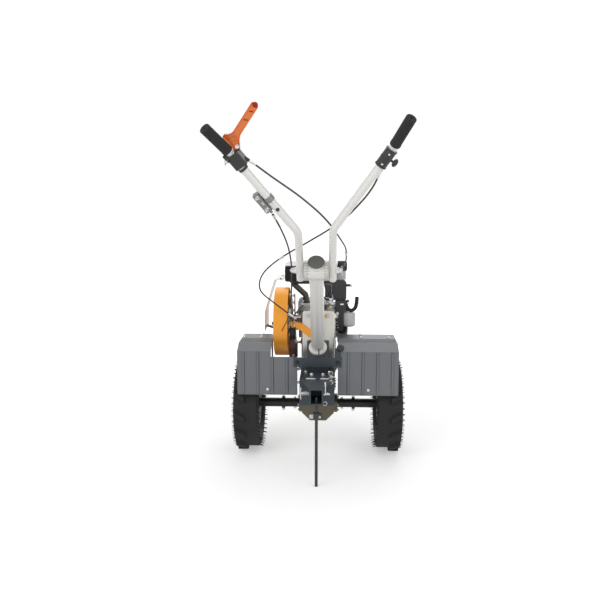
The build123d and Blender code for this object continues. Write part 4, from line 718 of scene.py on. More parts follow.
def route_points(name, route):
    """Places along a smooth spline whose control points are the route, in metres."""
    line = bpy.data.curves.new(name, "CURVE")
    line.dimensions = "3D"
    spline = line.splines.new("NURBS")
    spline.points.add(len(route) - 1)
    for point, place in zip(spline.points, route):
        point.co = (*(AXLE + Vector(place) * MM), 1.0)
    spline.order_u = 3
    spline.use_endpoint_u = True
    spline.resolution_u = ROUTE_STEPS
    holder = bpy.data.objects.new(name, line)
    drawn = bpy.data.meshes.new_from_object(holder)
    points = [vertex.co.copy() for vertex in drawn.vertices]
    bpy.data.objects.remove(holder)
    bpy.data.curves.remove(line)
    bpy.data.meshes.remove(drawn)
    return points


def at_length(points, distance):
    """The place and direction at a distance along a line of points."""
    for low, high in zip(points, points[1:]):
        step = (high - low).length
        if distance <= step:
            return low.lerp(high, distance / step), (high - low).normalized()
        distance -= step
    return points[-1], (points[-1] - points[-2]).normalized()


def adjuster(place, way):
    """A threaded cable adjuster with its hexagon nut, centred on a place of the cable."""
    start = place - way * (ADJUSTER_LENGTH / 2)
    profile = [(0, 3.2), (1, 4.2), (9, 4.2), (10, 3.6)]
    for index in range(ADJUSTER_THREADS):
        root = 11 + ADJUSTER_PITCH * index
        profile += [(root, 3.9), (root + 1, 3.4)]
    tail = ADJUSTER_LENGTH - 10
    profile += [(tail, 3.5), (tail + 1, 4.6), (ADJUSTER_LENGTH - 1, 4.6), (ADJUSTER_LENGTH, 3.3)]
    form = Form().turned(start, way, profile, 20)
    return form.turned(start + way * 10, way, ((0, 5.6), (0.6, 6.4), (5, 6.4), (5.6, 5.6)), 6)


def ferrule(name, body, end, inner):
    """The metal sleeve on a cable's end, on the line from that end to the next place inwards."""
    profile = ((0.5, 4.6), (1, 5.0), (12, 5.0), (13, 4.2), (22, 3.8), (26, 3.3), (27, 3.05))
    form = Form().turned(end, inner - end, profile, 20)
    return piece(f"ferrule_{name}_{body}", form, "bright_zinc", body)


class DRESS_OT_cables(bpy.types.Operator):
    """Three control cables, with their ferrules and adjusters"""
    bl_idname = "dress.cables"
    bl_label = "Control cables"

    def execute(self, context):
        for name, route, length, start, end in CABLES:
            points = route_points(name, route)
            line = [(point - AXLE) / MM for point in points]
            form = Form().tube(line, CABLE_RADIUS, CABLE_SIDES)
            cable = piece("control_cable_" + name, form, "cable_black", None)
            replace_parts(cable, "cable_" + name)
            fittings = [
                ferrule(name, "handlebar", line[0], line[1]),
                ferrule(name, "frame", line[-1], line[-2]),
            ]
            if name in ADJUSTER_AT:
                form = adjuster(*at_length(line, ADJUSTER_AT[name]))
                fittings.append(piece(f"adjuster_{name}_0", form, "bright_zinc", "frame"))
            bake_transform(cable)
        return {"FINISHED"}


class DRESS_OT_tyres(bpy.types.Operator):
    """Moulding hairs, sidewall rings, valves and hub fasteners of both wheels"""
    bl_idname = "dress.tyres"
    bl_label = "Tyre and wheel details"

    # Rows of hairs as wheel radius and distance from the tyre's middle, and the bristle's radii along it
    rows = ((190.0, 50.0), (181.0, 52.0), (168.0, 53.0))
    bristle = ((0.0, 1.6), (0.35, 1.3), (0.7, 1.0), (1.0, 0.5))
    root_depth = 1.5
    # Sidewall rings as wheel radius and wire
    rings = ((136.0, 1.2), (141.0, 1.2), (168.0, 1.8))
    bolt_circle = 47.0
    disc_face = 1.7
    cap_face = 325.8
    # Cotters of the axle tube as distance from the middle and half length
    cotters = ((106.0, 26.0), (157.0, 34.0))

    def execute(self, context):
        for side, body in ((-1, "wheel_left"), (1, "wheel_right")):
            self.hairs(side, body, context.scene.hand_tractor)
            self.sidewall(side, body)
            self.hub(side, body)
        return {"FINISHED"}

    def hairs(self, side, body, look):
        """Bristles whose angle and length vary without a pattern that the eye finds."""
        form = Form()
        step = 2 * math.pi / look.hair_count
        for outward, reach in ((side, look.hair_outside / MM), (-side, look.hair_inside / MM)):
            for row, (radius, x_at) in enumerate(self.rows):
                for index in range(look.hair_count):
                    wobble = math.sin(index * 12.9898 + row * 4.1 + outward) * 0.5
                    angle = (index + 0.5 * row + 0.3 * wobble) * step
                    out = reach * (0.72 + 0.28 * abs(math.sin(index * 7.31 + row)))
                    self.hair(form, side * WHEEL_X + outward * x_at, outward * out, radius, angle, wobble)
        piece(f"tyre_hairs_{body}", form, "tyre_rubber", body)

    def hair(self, form, x_root, out, radius, angle, wobble):
        """One soft bristle, thickest at its root and bent a little."""
        depth = math.copysign(self.root_depth, out)
        points = []
        for share, _ in self.bristle:
            x = x_root - depth + (out + depth) * share
            r = radius + 5.0 * share * share * (1 + wobble)
            turned = angle + 0.03 * wobble * share
            points.append((x, r * math.cos(turned), r * math.sin(turned)))
        form.tube(points, [size for _, size in self.bristle], 5)

    def sidewall(self, side, body):
        form = Form()
        for outward in (-1, 1):
            centre = (side * WHEEL_X + outward * (TYRE_HALF - 0.4), 0, 0)
            for radius, wire in self.rings:
                form.ring(centre, X_WAY, radius, wire, 6, 96)
        piece(f"sidewall_rings_{body}", form, "tyre_rubber", body)

    def hub(self, side, body):
        way = (side, 0, 0)
        form = Form()
        for angle in turn(4):
            y, z = self.bolt_circle * math.cos(angle), self.bolt_circle * math.sin(angle)
            form.bolt((side * (WHEEL_X + self.disc_face), y, z), way, stud=5.0)
            form.bolt((side * (WHEEL_X - self.disc_face), y, z), (-side, 0, 0))
        piece(f"hub_bolts_{body}", form, "bright_zinc", body)
        profile = ((0, 19.5), (2, 19.5), (3.4, 17), (3.8, 2))
        cap = Form().turned((side * self.cap_face, 0, 0), way, profile, 32)
        piece(f"axle_cap_{body}", cap, "black_plastic", body)
        pins = Form()
        for out, tall in self.cotters:
            x = side * out
            pins.rod((x, 0, -tall), (x, 0, tall), 3.6)
            pins.turned((x, 0, tall - 3.5), Z_WAY, ((0, 5.5), (0.5, 6.2), (3.5, 6.2), (4, 5.5)), 20)
            pins.ring((x, 0, -tall + 3), (0, 1, 0), 6.5, 0.9, 6, 28)
        piece(f"axle_pins_{body}", pins, "bright_zinc", body)
        profile = ((-3, 4.4), (2, 4.0), (4, 3.4), (16, 2.9), (16.5, 4.0), (24, 4.0), (25, 3.2))
        valve = Form().turned((side * (WHEEL_X + 20), 0, 88), (side, 0, 0.15), profile, 16)
        piece(f"valve_{body}", valve, "soft_rubber", body)


class DRESS_OT_grips(bpy.types.Operator):
    """Ribbed grips with hollow ends"""
    bl_idname = "dress.grips"
    bl_label = "Grips"

    rib_count = 27
    rib_pitch = 3.3
    ribs_from = 27.0
    radius = 17.5
    groove_radius = 17.05

    def execute(self, context):
        profile = [(GRIP_START, 14.6), (GRIP_START + 0.6, 17.8), (GRIP_START + 4, 18.4)]
        profile += [(24, 18.2), (26, 17.2)]
        for index in range(self.rib_count):
            at = self.ribs_from + index * self.rib_pitch
            profile += [(at, self.radius), (at + 1.9, self.radius)]
            profile += [(at + 2.3, self.groove_radius), (at + 2.9, self.groove_radius)]
        profile += [
            (118, self.radius), (122.4, self.radius), (124.3, 16.8), (GRIP_END, 15.2), (GRIP_END, 12.4),
            (123.8, 11.6), (123.6, 5.2), (122.8, 4.4), (113, 4.2), (112.6, 0.4),
        ]
        for name, root, way in (("left", LEFT_ROOT, LEFT_GRIP), ("right", RIGHT_ROOT, RIGHT_GRIP)):
            form = Form().turned(root, way, profile, 40)
            grip = piece("grip_sleeve_" + name, form, "soft_rubber", "handlebar", 50)
            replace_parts(grip, "grip_" + name)
        return {"FINISHED"}


class DRESS_OT_lever(bpy.types.Operator):
    """Clutch lever with its ribs, its red tip, and the fittings of its housing"""
    bl_idname = "dress.lever"
    bl_label = "Clutch lever"

    lean = math.radians(19.0)
    foot = LEFT_ROOT - LEFT_UP * 31.0 + Vector((0, 0, 22.0))
    face = Vector((0, -math.cos(lean), -math.sin(lean)))
    up = Vector((0, -math.sin(lean), math.cos(lean)))
    side = Vector((1, 0, 0))
    thick = 14.0
    pocket = (3.0, 3.2)
    # Ribs by their two ends, slots and the tip by their middles, all on the lever's face
    ribs = (((-28, 52), (-8, 60)), ((-6, 62), (6, 40)), ((-10, 44), (6, 58)), ((2, 20), (6, 38)))
    slots = ((33, 107), (51, 132))
    tip = (64, 152)

    def spot(self, x, y, out):
        return self.foot + self.side * x + self.up * y + self.face * out

    def execute(self, context):
        form = Form().plate(
            rounded(LEVER_OUTLINE, LEVER_CORNERS), self.thick, self.foot, self.side, self.face, 0.8,
            pocket=self.pocket,
        )
        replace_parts(piece("clutch_lever_arm", form, "orange_plastic", "handlebar"), "clutch_lever")
        ribs = Form()
        for low, high in self.ribs:
            middle = self.spot((low[0] + high[0]) / 2, (low[1] + high[1]) / 2, 4.6)
            way = self.side * (high[0] - low[0]) + self.up * (high[1] - low[1])
            ribs.slab(middle, (way.length, 2.2, 3.2), way, self.face, 0.4)
        piece("clutch_lever_ribs", ribs, "orange_plastic", "handlebar")
        marks = Form()
        for x, y in self.slots:
            marks.slab(self.spot(x, y, 4.2), (13.0, 3.4, 1.4), self.side - self.up * 0.15, self.face, 0.3)
        marks.turned(self.spot(*self.tip, 3.6), self.face, ((0, 8.4), (2.6, 8.4), (3.7, 7.4), (3.8, 0.4)), 28)
        piece("clutch_lever_marks", marks, "lever_tip", "handlebar")
        self.housing()
        return {"FINISHED"}

    def housing(self):
        """Screws of the housing, the bare tube's sleeve, and the clamp with its bolt."""
        bolts = Form().bolt(self.spot(2, 26, self.thick / 2), self.face, 9.0)
        bolts.screws((self.spot(-20, 2, self.thick), self.spot(16, -6, self.thick)), self.face, 3.6)
        sleeve = ((-7, 14.3), (-6.5, 14.6), (9, 14.6), (9.5, 14.3))
        bolts.turned(LEFT_ROOT + LEFT_UP * -4.0, LEFT_UP, sleeve, 32)
        piece("lever_fasteners", bolts, "bright_zinc", "handlebar")
        band = ((0, 15.0), (0.6, 16.8), (8.6, 16.8), (9.2, 15.0))
        clamp = Form().turned(LEFT_ROOT - LEFT_UP * 64, LEFT_UP, band, 32)
        ear = LEFT_ROOT + Vector((-12.0, -6.0, -14.0))
        clamp.slab(ear, (26.0, 15.0, 12.0), LEFT_UP, (0, -1, 0.2), 1.5)
        piece("lever_clamp", clamp, "black_plastic", "handlebar")
        stud = Form().bolt(ear + Vector((-2.0, -5.0, -9.0)), (-0.25, -0.2, -1), 9.0, stud=6.0)
        piece("lever_clamp_bolt", stud, "plain_steel", "handlebar")


class DRESS_OT_handlebar(bpy.types.Operator):
    """Bands, plugs, springs and screws on the two handle tubes"""
    bl_idname = "dress.handlebar"
    bl_label = "Handlebar fittings"

    # Distances down the left tube from its root
    band_bolt = 204
    lever_bolts = (166, 218)
    spring_ends = (160, 222)
    plug_at = 236
    # Rings of the throttle sleeve as distance down the right tube and radius, and its screws
    sleeve_rings = ((4.5, 20.2), (34.0, 19.8), (64.5, 20.2))
    sleeve_screws = (14, 52)

    def execute(self, context):
        out = Vector((-1, 0, 0)) - LEFT_UP * LEFT_UP.dot(Vector((-1, 0, 0)))
        out.normalize()
        back = LEFT_UP.cross(out)
        if back.y > 0:
            back = -back

        def on_left(down, outward, backward):
            return LEFT_ROOT - LEFT_UP * down + out * outward + back * backward

        zinc = Form().bolt(on_left(self.band_bolt, -2, HANDLE_RADIUS), back, 8.0)
        zinc.bolts([on_left(down, 28, 11) for down in self.lever_bolts], back, 8.0)
        zinc.coil(*[on_left(down, 28, 4) for down in self.spring_ends], 4.5, 0.9, 11)
        zinc.slab(on_left(self.spring_ends[1], 36, 4), (9.0, 20.0, 3.0), out, LEFT_UP, 0.6)
        piece("steel_lever_fittings", zinc, "bright_zinc", "handlebar")
        profile = ((0, 6.4), (4.4, 6.4), (6.0, 5.2), (6.4, 1.0))
        plug_form = Form().turned(on_left(self.plug_at, -3, HANDLE_RADIUS - 3), back, profile, 24)
        piece("handle_plug", plug_form, "black_plastic", "handlebar")
        sleeve = Form()
        for down, wide in self.sleeve_rings:
            start = RIGHT_ROOT - RIGHT_UP * (down + 3)
            sleeve.turned(start, RIGHT_UP, ((0, 18), (0.7, wide), (4.3, wide), (5, 18)), 36)
        piece("throttle_rings", sleeve, "black_plastic", "handlebar")
        places = [RIGHT_ROOT - RIGHT_UP * down + Vector((-4, -17.6, -9)) for down in self.sleeve_screws]
        screws = Form().screws(places, (-0.2, -1, -0.5), 3.4)
        piece("throttle_screws", screws, "bright_zinc", "handlebar")
        return {"FINISHED"}


class DRESS_OT_column(bpy.types.Operator):
    """Weld bead, disc grooves drawn as darker rings of painted shade, and clamp hardware of the steering column"""
    bl_idname = "dress.column"
    bl_label = "Column details"

    # Distances from the column's middle plane
    column_grooves = (29.5, 32.6, 35.7)
    handle_grooves = (40.8, 43.6)
    clamp_nuts = 80.0
    groove_wire = 0.62

    def execute(self, context):
        welds = Form().weld(COLUMN_BASE + COLUMN_WAY * 13.0, COLUMN_WAY, COLUMN_RADIUS + 2.0, 3.4)
        piece("column_welds", welds, "white_paint", "frame", 60)
        # The groove rings take the darker case paint on the white disc: painted shade in the grooves
        piece("disc_grooves", self.grooves(self.column_grooves), "case_paint", "frame")
        lip = Form().ring(
            COLUMN_BASE + COLUMN_WAY * (COLUMN_LENGTH + 3.4), COLUMN_WAY, COLUMN_RADIUS + 2.2, 1.5, 8, 64,
        )
        piece("column_cap_lip", lip, "cap_grey", "frame")
        hardware = Form()
        for side in (-1, 1):
            hardware.bolt(PIVOT + Vector((side * self.clamp_nuts, 0, 0)), (side, 0, 0), 17.0, stud=5.0)
        # Darker rings on the handlebar's white disc: painted shade in its grooves
        piece("handle_disc_grooves", self.grooves(self.handle_grooves), "case_paint", "handlebar")
        piece("clamp_hardware", hardware, "bright_zinc", "handlebar")
        return {"FINISHED"}

    # Thin rings round the discs, given a darker finish by the callers as painted shade in the grooves
    def grooves(self, distances):
        form = Form()
        for side in (-1, 1):
            for out in distances:
                centre = PIVOT + Vector((side * out, 0, 0))
                form.ring(centre, X_WAY, DISC_RADIUS - 0.2, self.groove_wire, 6, 72)
        return form


class DRESS_OT_fenders(bpy.types.Operator):
    """Bolts and hems of the fenders, bright bars under the hems as a painted highlight of their lit edge, and the
    bolts of the cross plate
    """
    bl_idname = "dress.fenders"
    bl_label = "Fender details"

    low_screws = (-209, 211)
    plate_bolts = 84
    # Bolts on the top of both fenders, as x and y
    top_bolts = ((186, -45), (307, -45), (-323, -45), (-250, -45), (186, 20), (-250, 20))
    # Bright bar under each hem, a painted highlight of the hem's lit edge, from its inner end to its outer
    strips = ((-88, -225), (88, 186))

    def execute(self, context):
        bolts = Form().screws([(x, FENDER_BACK - 0.2, 117) for x in self.low_screws], BACK_WAY, 6.5)
        places = [(side * self.plate_bolts, FENDER_BACK - 8.0, 235) for side in (-1, 1)]
        piece("cross_plate_bolts", Form().bolts(places, BACK_WAY, 12.0), "black_paint", "frame")
        bolts.bolts([(x, y, FENDER_TOP) for x, y in self.top_bolts], Z_WAY, 10.0)
        piece("fender_bolts", bolts, "bright_zinc", "frame")
        hems = Form()
        for side in (-1, 1):
            low, high = sorted((side * (FENDER_INNER + 0.5), side * (FENDER_OUTER - 0.5)))
            hems.rod((low, FENDER_BACK + 0.6, 95.4), (high, FENDER_BACK + 0.6, 95.4), 2.2)
            outer = side * FENDER_OUTER
            hems.rod((outer, FENDER_BACK + 0.8, 97), (outer, FENDER_BACK + 0.8, 279), 1.6)
        piece("fender_hems", hems, "grey_sheet", "frame")
        # Bright zinc bars under the hems: a painted highlight where the hem's edge catches the light
        strips = Form()
        for inner, outer in self.strips:
            middle = ((inner + outer) / 2, FENDER_BACK - 0.9, 93.8)
            strips.slab(middle, (abs(outer - inner), 3.0, 1.8))
        piece("fender_hem_highlights", strips, "bright_zinc", "frame")
        return {"FINISHED"}


class DRESS_OT_hitch(bpy.types.Operator):
    """Rib, keeper pins, clips, knob, springs and bolts of the hitch"""
    bl_idname = "dress.hitch"
    bl_label = "Hitch fittings"

    # Middles, sizes and edges of the ribs and tabs
    centre_ribs = (
        ((5, BRACKET_BACK - 5, 246), (5.0, 12.0, 88.0), 1.0),
        ((27, BRACKET_BACK - 5, 228), (15.0, 8.0, 24.0), 1.5),
    )
    side_ribs = ((64, -250, HITCH_TOP + 9), (6.0, 96.0, 18.0), 1.2)
    cheeks = ((27.0, -392, 158), (3.0, 60.0, 66.0), 0.8)
    end_rib = ((0, -452.5, 189), (62.0, 6.0, 12.0), 1.0)
    # Keeper pins by their two ends, and the bolts on the top
    keepers = ((-44, -6), (14, 46))
    top_bolts = ((-50, -225), (-24, -262), (24, -262), (50, -225))
    pin = (54, -312)
    bright_pin_x = 33.5

    def execute(self, context):
        dark = Form().slabs(self.centre_ribs)
        for side in (-1, 1):
            for (x, y, z), size, edge in (self.side_ribs, self.cheeks):
                dark.slab((side * x, y, z), size, edge=edge)
        dark.slabs((self.end_rib,))
        piece("hitch_ribs", dark, "hitch_paint", "frame")
        piece("hitch_hardware", self.hardware(), "bright_zinc", "frame")
        profile = ((-12, 5), (-2, 6), (0, 12), (2, 15), (10, 16), (15, 13), (17, 8), (17.5, 1))
        knob = Form().turned((92, BRACKET_BACK - 14, 297), (0.2, -1, 0.15), profile, 28)
        piece("hitch_knob", knob, "black_plastic", "frame")
        wing = Form().slab((-16, ROD_Y, 73), (22.0, 5.0, 16.0), edge=1.2)
        wing.bolt((13, ROD_Y - 5, 74), BACK_WAY, 10.0, washer=False, stud=4.0)
        piece("rod_collar_fittings", wing, "plain_steel", "depth_rod")
        return {"FINISHED"}

    def hardware(self):
        """Pins, bolts, clips and the clamp screw's spring."""
        form = Form().slab((28, BRACKET_BACK - 9.6, 228), (9.0, 1.6, 13.0), edge=0.4)
        for low, high in self.keepers:
            form.rod((low, -336, HITCH_TOP + 3), (high, -336, HITCH_TOP + 3), 3.4)
        form.bolt((56, -352, HITCH_TOP - 6), (0, -1, 0.4), 11.0)
        form.bolts([(x, y, HITCH_TOP) for x, y in self.top_bolts], Z_WAY, 12.0)
        pin = Vector((*self.pin, HITCH_TOP))
        form.ring(pin + Vector((0, 0, 19)), (0, 1, 0.2), 9.0, 1.3, 8, 32)
        form.tube([pin + Vector(by) for by in ((0, 0, 10), (8, -4, 8), (22, -10, 4), (26, -12, -4))], 1.3)
        form.rod((self.bright_pin_x, -440, 168), (self.bright_pin_x, -440, 212), 3.2)
        form.rod((27, -440, 165), (52, -440, 165), 3.0)
        form.ring((33, ROD_Y - 8, 127), (0, 1, 0), 7.5, 1.1, 8, 32)
        form.turned((27.5, *SCREW), X_WAY, ((0, 8), (1, 9), (6, 9), (7, 8)), 6)
        form.rod((34, *SCREW), (46, *SCREW), 4.2)
        form.ring((-61, SCREW[0], SCREW[1] - 21), X_WAY, 5.0, 1.0, 8, 24)
        return form.coil((-30, *SCREW), (-56, *SCREW), 8.0, 1.0, 5, 1.0)


class DRESS_OT_gearbox(bpy.types.Operator):
    """Cover bolts, seams, plugs and bosses of the gearbox"""
    bl_idname = "dress.gearbox"
    bl_label = "Gearbox details"

    boss_heights = (170, 290, 400)
    boss_profile = ((0, 15), (5, 14), (7, 12), (7.2, 1))
    flange_back = (-72, -36, 0, 36, 72)
    flange_sides = (-60, -10, 40)
    flange_top = 102
    seam_y = -45
    cover_bolts = 32
    cover_face = 85.8

    def execute(self, context):
        self.castings()
        self.bosses()
        self.bolts()
        breather = Form().turned((30, -40, 432), Z_WAY, (
            (0, 10), (3, 10), (3.5, 7), (9, 7), (9.5, 11), (17, 11), (19, 9), (19.5, 1),
        ), 24)
        piece("gearbox_breather", breather, "black_plastic", "frame")
        return {"FINISHED"}

    def castings(self):
        form = Form()
        for side in (-1, 1):
            form.slab((side * (CASE_HALF + 1.2), self.seam_y, 262), (4.0, 6.0, 300.0), edge=1.4)
            for z in self.boss_heights:
                form.turned((side * (CASE_HALF - 1), self.seam_y, z), (side, 0, 0), self.boss_profile, 28)
        for x in (-60, 60):
            form.slab((x, CASE_BACK - 1.0, 262), (8.0, 4.0, 310.0), edge=1.4)
        form.slab((0, CASE_BACK - 1.2, 414), (104.0, 4.4, 9.0), edge=1.6)
        piece("gearbox_castings", form, "case_paint", "frame")

    def bosses(self):
        form = Form()
        for side in (-1, 1):
            profile = ((-3, 41), (0.5, 41), (1.6, 39), (1.8, 22))
            form.turned((side * 84.5, 0, 0), (side, 0, 0), profile, 48)
        # The bosses take the lower case's dark finish, so their colour is painted shade on the same light case
        # paint
        piece("axle_bosses", form, "lower_case_paint", "frame")

    def bolts(self):
        form = Form().bolts([(x, CASE_BACK + 6, self.flange_top) for x in self.flange_back], Z_WAY, 10.0)
        for side in (-1, 1):
            way = (side, 0, 0)
            form.bolts([(side * 73.2, y, self.flange_top) for y in self.flange_sides], Z_WAY, 9.0)
            for index in range(5):
                angle = math.radians(72 * index + 36)
                y, z = self.cover_bolts * math.cos(angle), self.cover_bolts * math.sin(angle)
                form.bolt((side * self.cover_face, y, z), way, 9.0)
            ends = (self.boss_heights[0], self.boss_heights[-1])
            form.bolts([(side * (CASE_HALF + 6.2), self.seam_y, z) for z in ends], way, 12.0)
        form.bolts([(x, CASE_BACK - 3.2, 414) for x in (-42, 42)], BACK_WAY, 10.0)
        form.bolt((0, -20, -50), (0, 0, -1), 16.0)
        piece("gearbox_bolts", form, "plain_steel", "frame")


class DRESS_OT_guard(bpy.types.Operator):
    """Rim beads, bolts and knob of the belt guard and its cover"""
    bl_idname = "dress.guard"
    bl_label = "Guard details"

    # Side bolts of the guard, top bolts of the cover and its low bolts
    side_bolts = ((-110, 330), (-60, 470), (60, 470), (150, 400), (60, 290), (200, 300))
    cover_top = (82, 240)
    cover_low = (330, 365)
    # Circles that the lips run round, as y, z and radius
    big = (-20.0, 375.0, 148.6)
    small = (200.0, 350.0, 76.6)
    arc_steps = 40

    def execute(self, context):
        bolts = Form().bolts([(GUARD_LEFT, y, z) for y, z in self.side_bolts], LEFT_WAY, 12.0)
        bolts.bolts([(-177, y, 551) for y in self.cover_top], Z_WAY, 10.0)
        bolts.bolts([(-246.9, 162, z) for z in self.cover_low], LEFT_WAY, 10.0)
        piece("guard_bolts", bolts, "bright_zinc", "frame")
        profile = ((0, 4), (4, 4), (5, 7), (12, 8), (15, 6), (15.6, 1))
        knob = Form().turned((GUARD_LEFT, -66, 373), LEFT_WAY, profile, 20)
        piece("guard_knob", knob, "rust_brown", "frame")
        lips = Form()
        for x in (GUARD_LEFT + 0.4, GUARD_RIGHT - 0.8):
            lips.tube([(x, y, z) for y, z in self.loop()], 1.6, 8, closed=True)
        piece("guard_lips", lips, "orange_paint", "frame")
        return {"FINISHED"}

    def loop(self):
        """The outline round both circles."""
        along, rise = self.small[0] - self.big[0], self.small[1] - self.big[1]
        slope = math.atan2(rise, along)
        lean = math.acos((self.big[2] - self.small[2]) / math.hypot(along, rise))
        points = []
        for (y, z, radius), start, end in (
            (self.small, slope - lean, slope + lean),
            (self.big, slope + lean, slope - lean + 2 * math.pi),
        ):
            for step in range(self.arc_steps + 1):
                angle = start + (end - start) * step / self.arc_steps
                points.append((y + radius * math.cos(angle), z + radius * math.sin(angle)))
        return points


class DRESS_OT_linkage(bpy.types.Operator):
    """Springs, arms, rods and the loose end between the guard and the gearbox"""
    bl_idname = "dress.linkage"
    bl_label = "Belt tension linkage"

    # Arm outline along y and z from its middle
    arm = ((-14, -96), (12, -96), (16, 40), (4, 118), (-12, 118))
    arm_bolts = ((-92, 500), (-96, 470), (-98, 436), (-90, 318))
    # Bolts that face the operator: on the tab, and lower down on the case
    tab_bolts = ((-102, 372), (-100, 350), (-116, 334), (-104, 240))
    case_bolts = ((-84, 118), (-96, 152), (-84, 178))
    # The short cable above the arm, and the loose end of the tension cable
    short_cable = ((-109, -150, 417), (-98, -130, 425), (-84, -100, 438), (-66, -66, 452))
    loose_end = (
        (-117, -163, 432), (-124, -166, 414), (-133, -170, 396), (-145, -175, 372), (-151, -177, 358),
    )
    drum = ((0, 34), (1, 36), (5, 36), (7, 30), (16, 30), (18, 34), (23, 36), (24, 34))

    def execute(self, context):
        red = Form().plate(rounded(self.arm, (8,) * 5), 4.0, (-100, -92, 390), (0, 1, 0), X_WAY, 0.6)
        red.rod((-71, -60, 352), (-120, -60, 352), 8.0)
        red.slab((-109, -110, 300), (30.0, 5.0, 150.0), edge=1.0)
        red.slab((-92, -100, 402), (44.0, 6.0, 24.0), edge=1.0)
        piece("linkage_arms", red, "dark_red", "frame")
        bright = Form().bolts([(-101.5, y, z) for y, z in self.arm_bolts], LEFT_WAY, 11.0, stud=5.0)
        bright.coil((-106, -116, 424), (-96, -118, 296), 6.5, 1.4, 17)
        bright.coil((-118, -112, 512), (-110, -104, 462), 5.0, 1.1, 10)
        bright.rod((-74, -100, 407), (-114, -100, 407), 4.5)
        bright.bolts([(x, -113, z) for x, z in self.tab_bolts], BACK_WAY, 10.0)
        bright.bolts([(x, -96, z) for x, z in self.case_bolts], BACK_WAY, 9.0)
        piece("linkage_hardware", bright, "bright_zinc", "frame")
        black = Form().tube(self.short_cable, 3.0, 10)
        black.tube(self.loose_end, 1.5, 8)
        black.turned((-120, -100, 340), X_WAY, self.drum, 40)
        black.slab((-94, -112, 266), (14.0, 8.0, 60.0), edge=1.0)
        piece("linkage_rods", black, "black_paint", "frame")
        return {"FINISHED"}


class DRESS_OT_head(bpy.types.Operator):
    """Fins, shroud, plug cap and pipe flanges of the cylinder head"""
    bl_idname = "dress.head"
    bl_label = "Cylinder head details"

    fin_count = 9
    fin_pitch = 10.5
    fin_fan = 0.125
    shroud_bolts = ((-70, 446), (8, 446), (-70, 358), (8, 358))
    shroud_edge = ((-97, 20, 392), (-94, 18, 420), (-84, 18, 446), (-66, 20, 462))
    cap_profile = ((0, 8), (6, 8), (7, 6), (14, 6), (15, 9), (30, 9.5), (36, 8), (38, 4), (38.4, 1))

    def execute(self, context):
        self.fins()
        self.shroud()
        plug_cap = Form().turned((-8, 34, 430), (0.25, -1, 0.35), self.cap_profile, 24)
        piece("plug_cap", plug_cap, "black_plastic", "frame")
        port = Form().turned((-58, 44, 449), Z_WAY, ((0, 20), (0.6, 21), (5, 21), (5.6, 20)), 28)
        port.turned((-114, 90, 541), (0, 0, -1), ((0, 19), (0.6, 20), (5, 20), (5.6, 19)), 28)
        piece("pipe_flanges", port, "rust_brown", "frame")
        return {"FINISHED"}

    def fins(self):
        """Upright fins that fan out over the head, and level ones beside it."""
        form = Form()
        for index in range(self.fin_count):
            middle = index - self.fin_count // 2
            tilt = self.fin_fan * middle * 0.6
            x = -30 + middle * self.fin_pitch
            form.slab((x, 25, 402), (2.6, 15.0, 86.0), (1, 0, -tilt), (tilt, 0, 1), 0.6)
        for index in range(4):
            form.slab((-88, 70, 368 + index * 22), (12.0, 60.0, 2.4), (1, 0, 0.25), (-0.25, 0, 1), 0.5)
        piece("head_fins", form, "engine_alloy", "frame")

    def shroud(self):
        form = Form()
        for low, high in zip(self.shroud_edge, self.shroud_edge[1:]):
            low, high = Vector(low), Vector(high)
            way = high - low
            form.slab((low + high) / 2, (way.length + 3, 26.0, 2.2), way, way.cross(Vector((0, 1, 0))), 0.6)
        form.bolts([(x, 32, z) for x, z in self.shroud_bolts], BACK_WAY, 12.0)
        form.rod((-96, 40, 405), (-70, 22, 396), 4.0)
        piece("head_shroud", form, "bright_zinc", "frame")


class DRESS_OT_tank(bpy.types.Operator):
    """Tank seam, ribs of the filler cap, and the muffler's strip and screws"""
    bl_idname = "dress.tank"
    bl_label = "Tank and muffler details"

    corners = ((-160, 128), (84, 128), (84, 292), (-160, 292))
    corner_radius = 26
    seam_z = 580
    cap_place = (105, 176)
    cap_ribs = 26
    cap_radius = 22.2
    muffler_screws = ((-148, 549), (-148, 606), (-104, 549), (-104, 606))

    def execute(self, context):
        outline = rounded(self.corners, (self.corner_radius,) * 4, 8)
        seam = Form().tube([(p.x, p.y, self.seam_z) for p in outline], 1.9, 8, closed=True)
        piece("tank_seam", seam, "tank_paint", "frame")
        ribs = Form()
        for angle in turn(self.cap_ribs):
            x = self.cap_place[0] + self.cap_radius * math.cos(angle)
            y = self.cap_place[1] + self.cap_radius * math.sin(angle)
            if x > self.corners[1][0] + 2:
                ribs.rod((x, y, 586), (x, y, 621), 1.5, 6)
        piece("fuel_cap_ribs", ribs, "black_plastic", "frame")
        strip = Form().slab((-128, 74, 615.5), (50.0, 36.0, 5.0), edge=1.0)
        strip.bolt((95, 156, 590), (-0.2, -1, 0), 9.0)
        piece("muffler_shield", strip, "bright_zinc", "frame")
        screws = Form().screws([(x, 56, z) for x, z in self.muffler_screws], BACK_WAY, 2.8)
        screws.slab((-126, 55, 577), (30.0, 3.0, 2.0), edge=0.5)
        piece("muffler_screws", screws, "muffler_black", "frame")
        return {"FINISHED"}


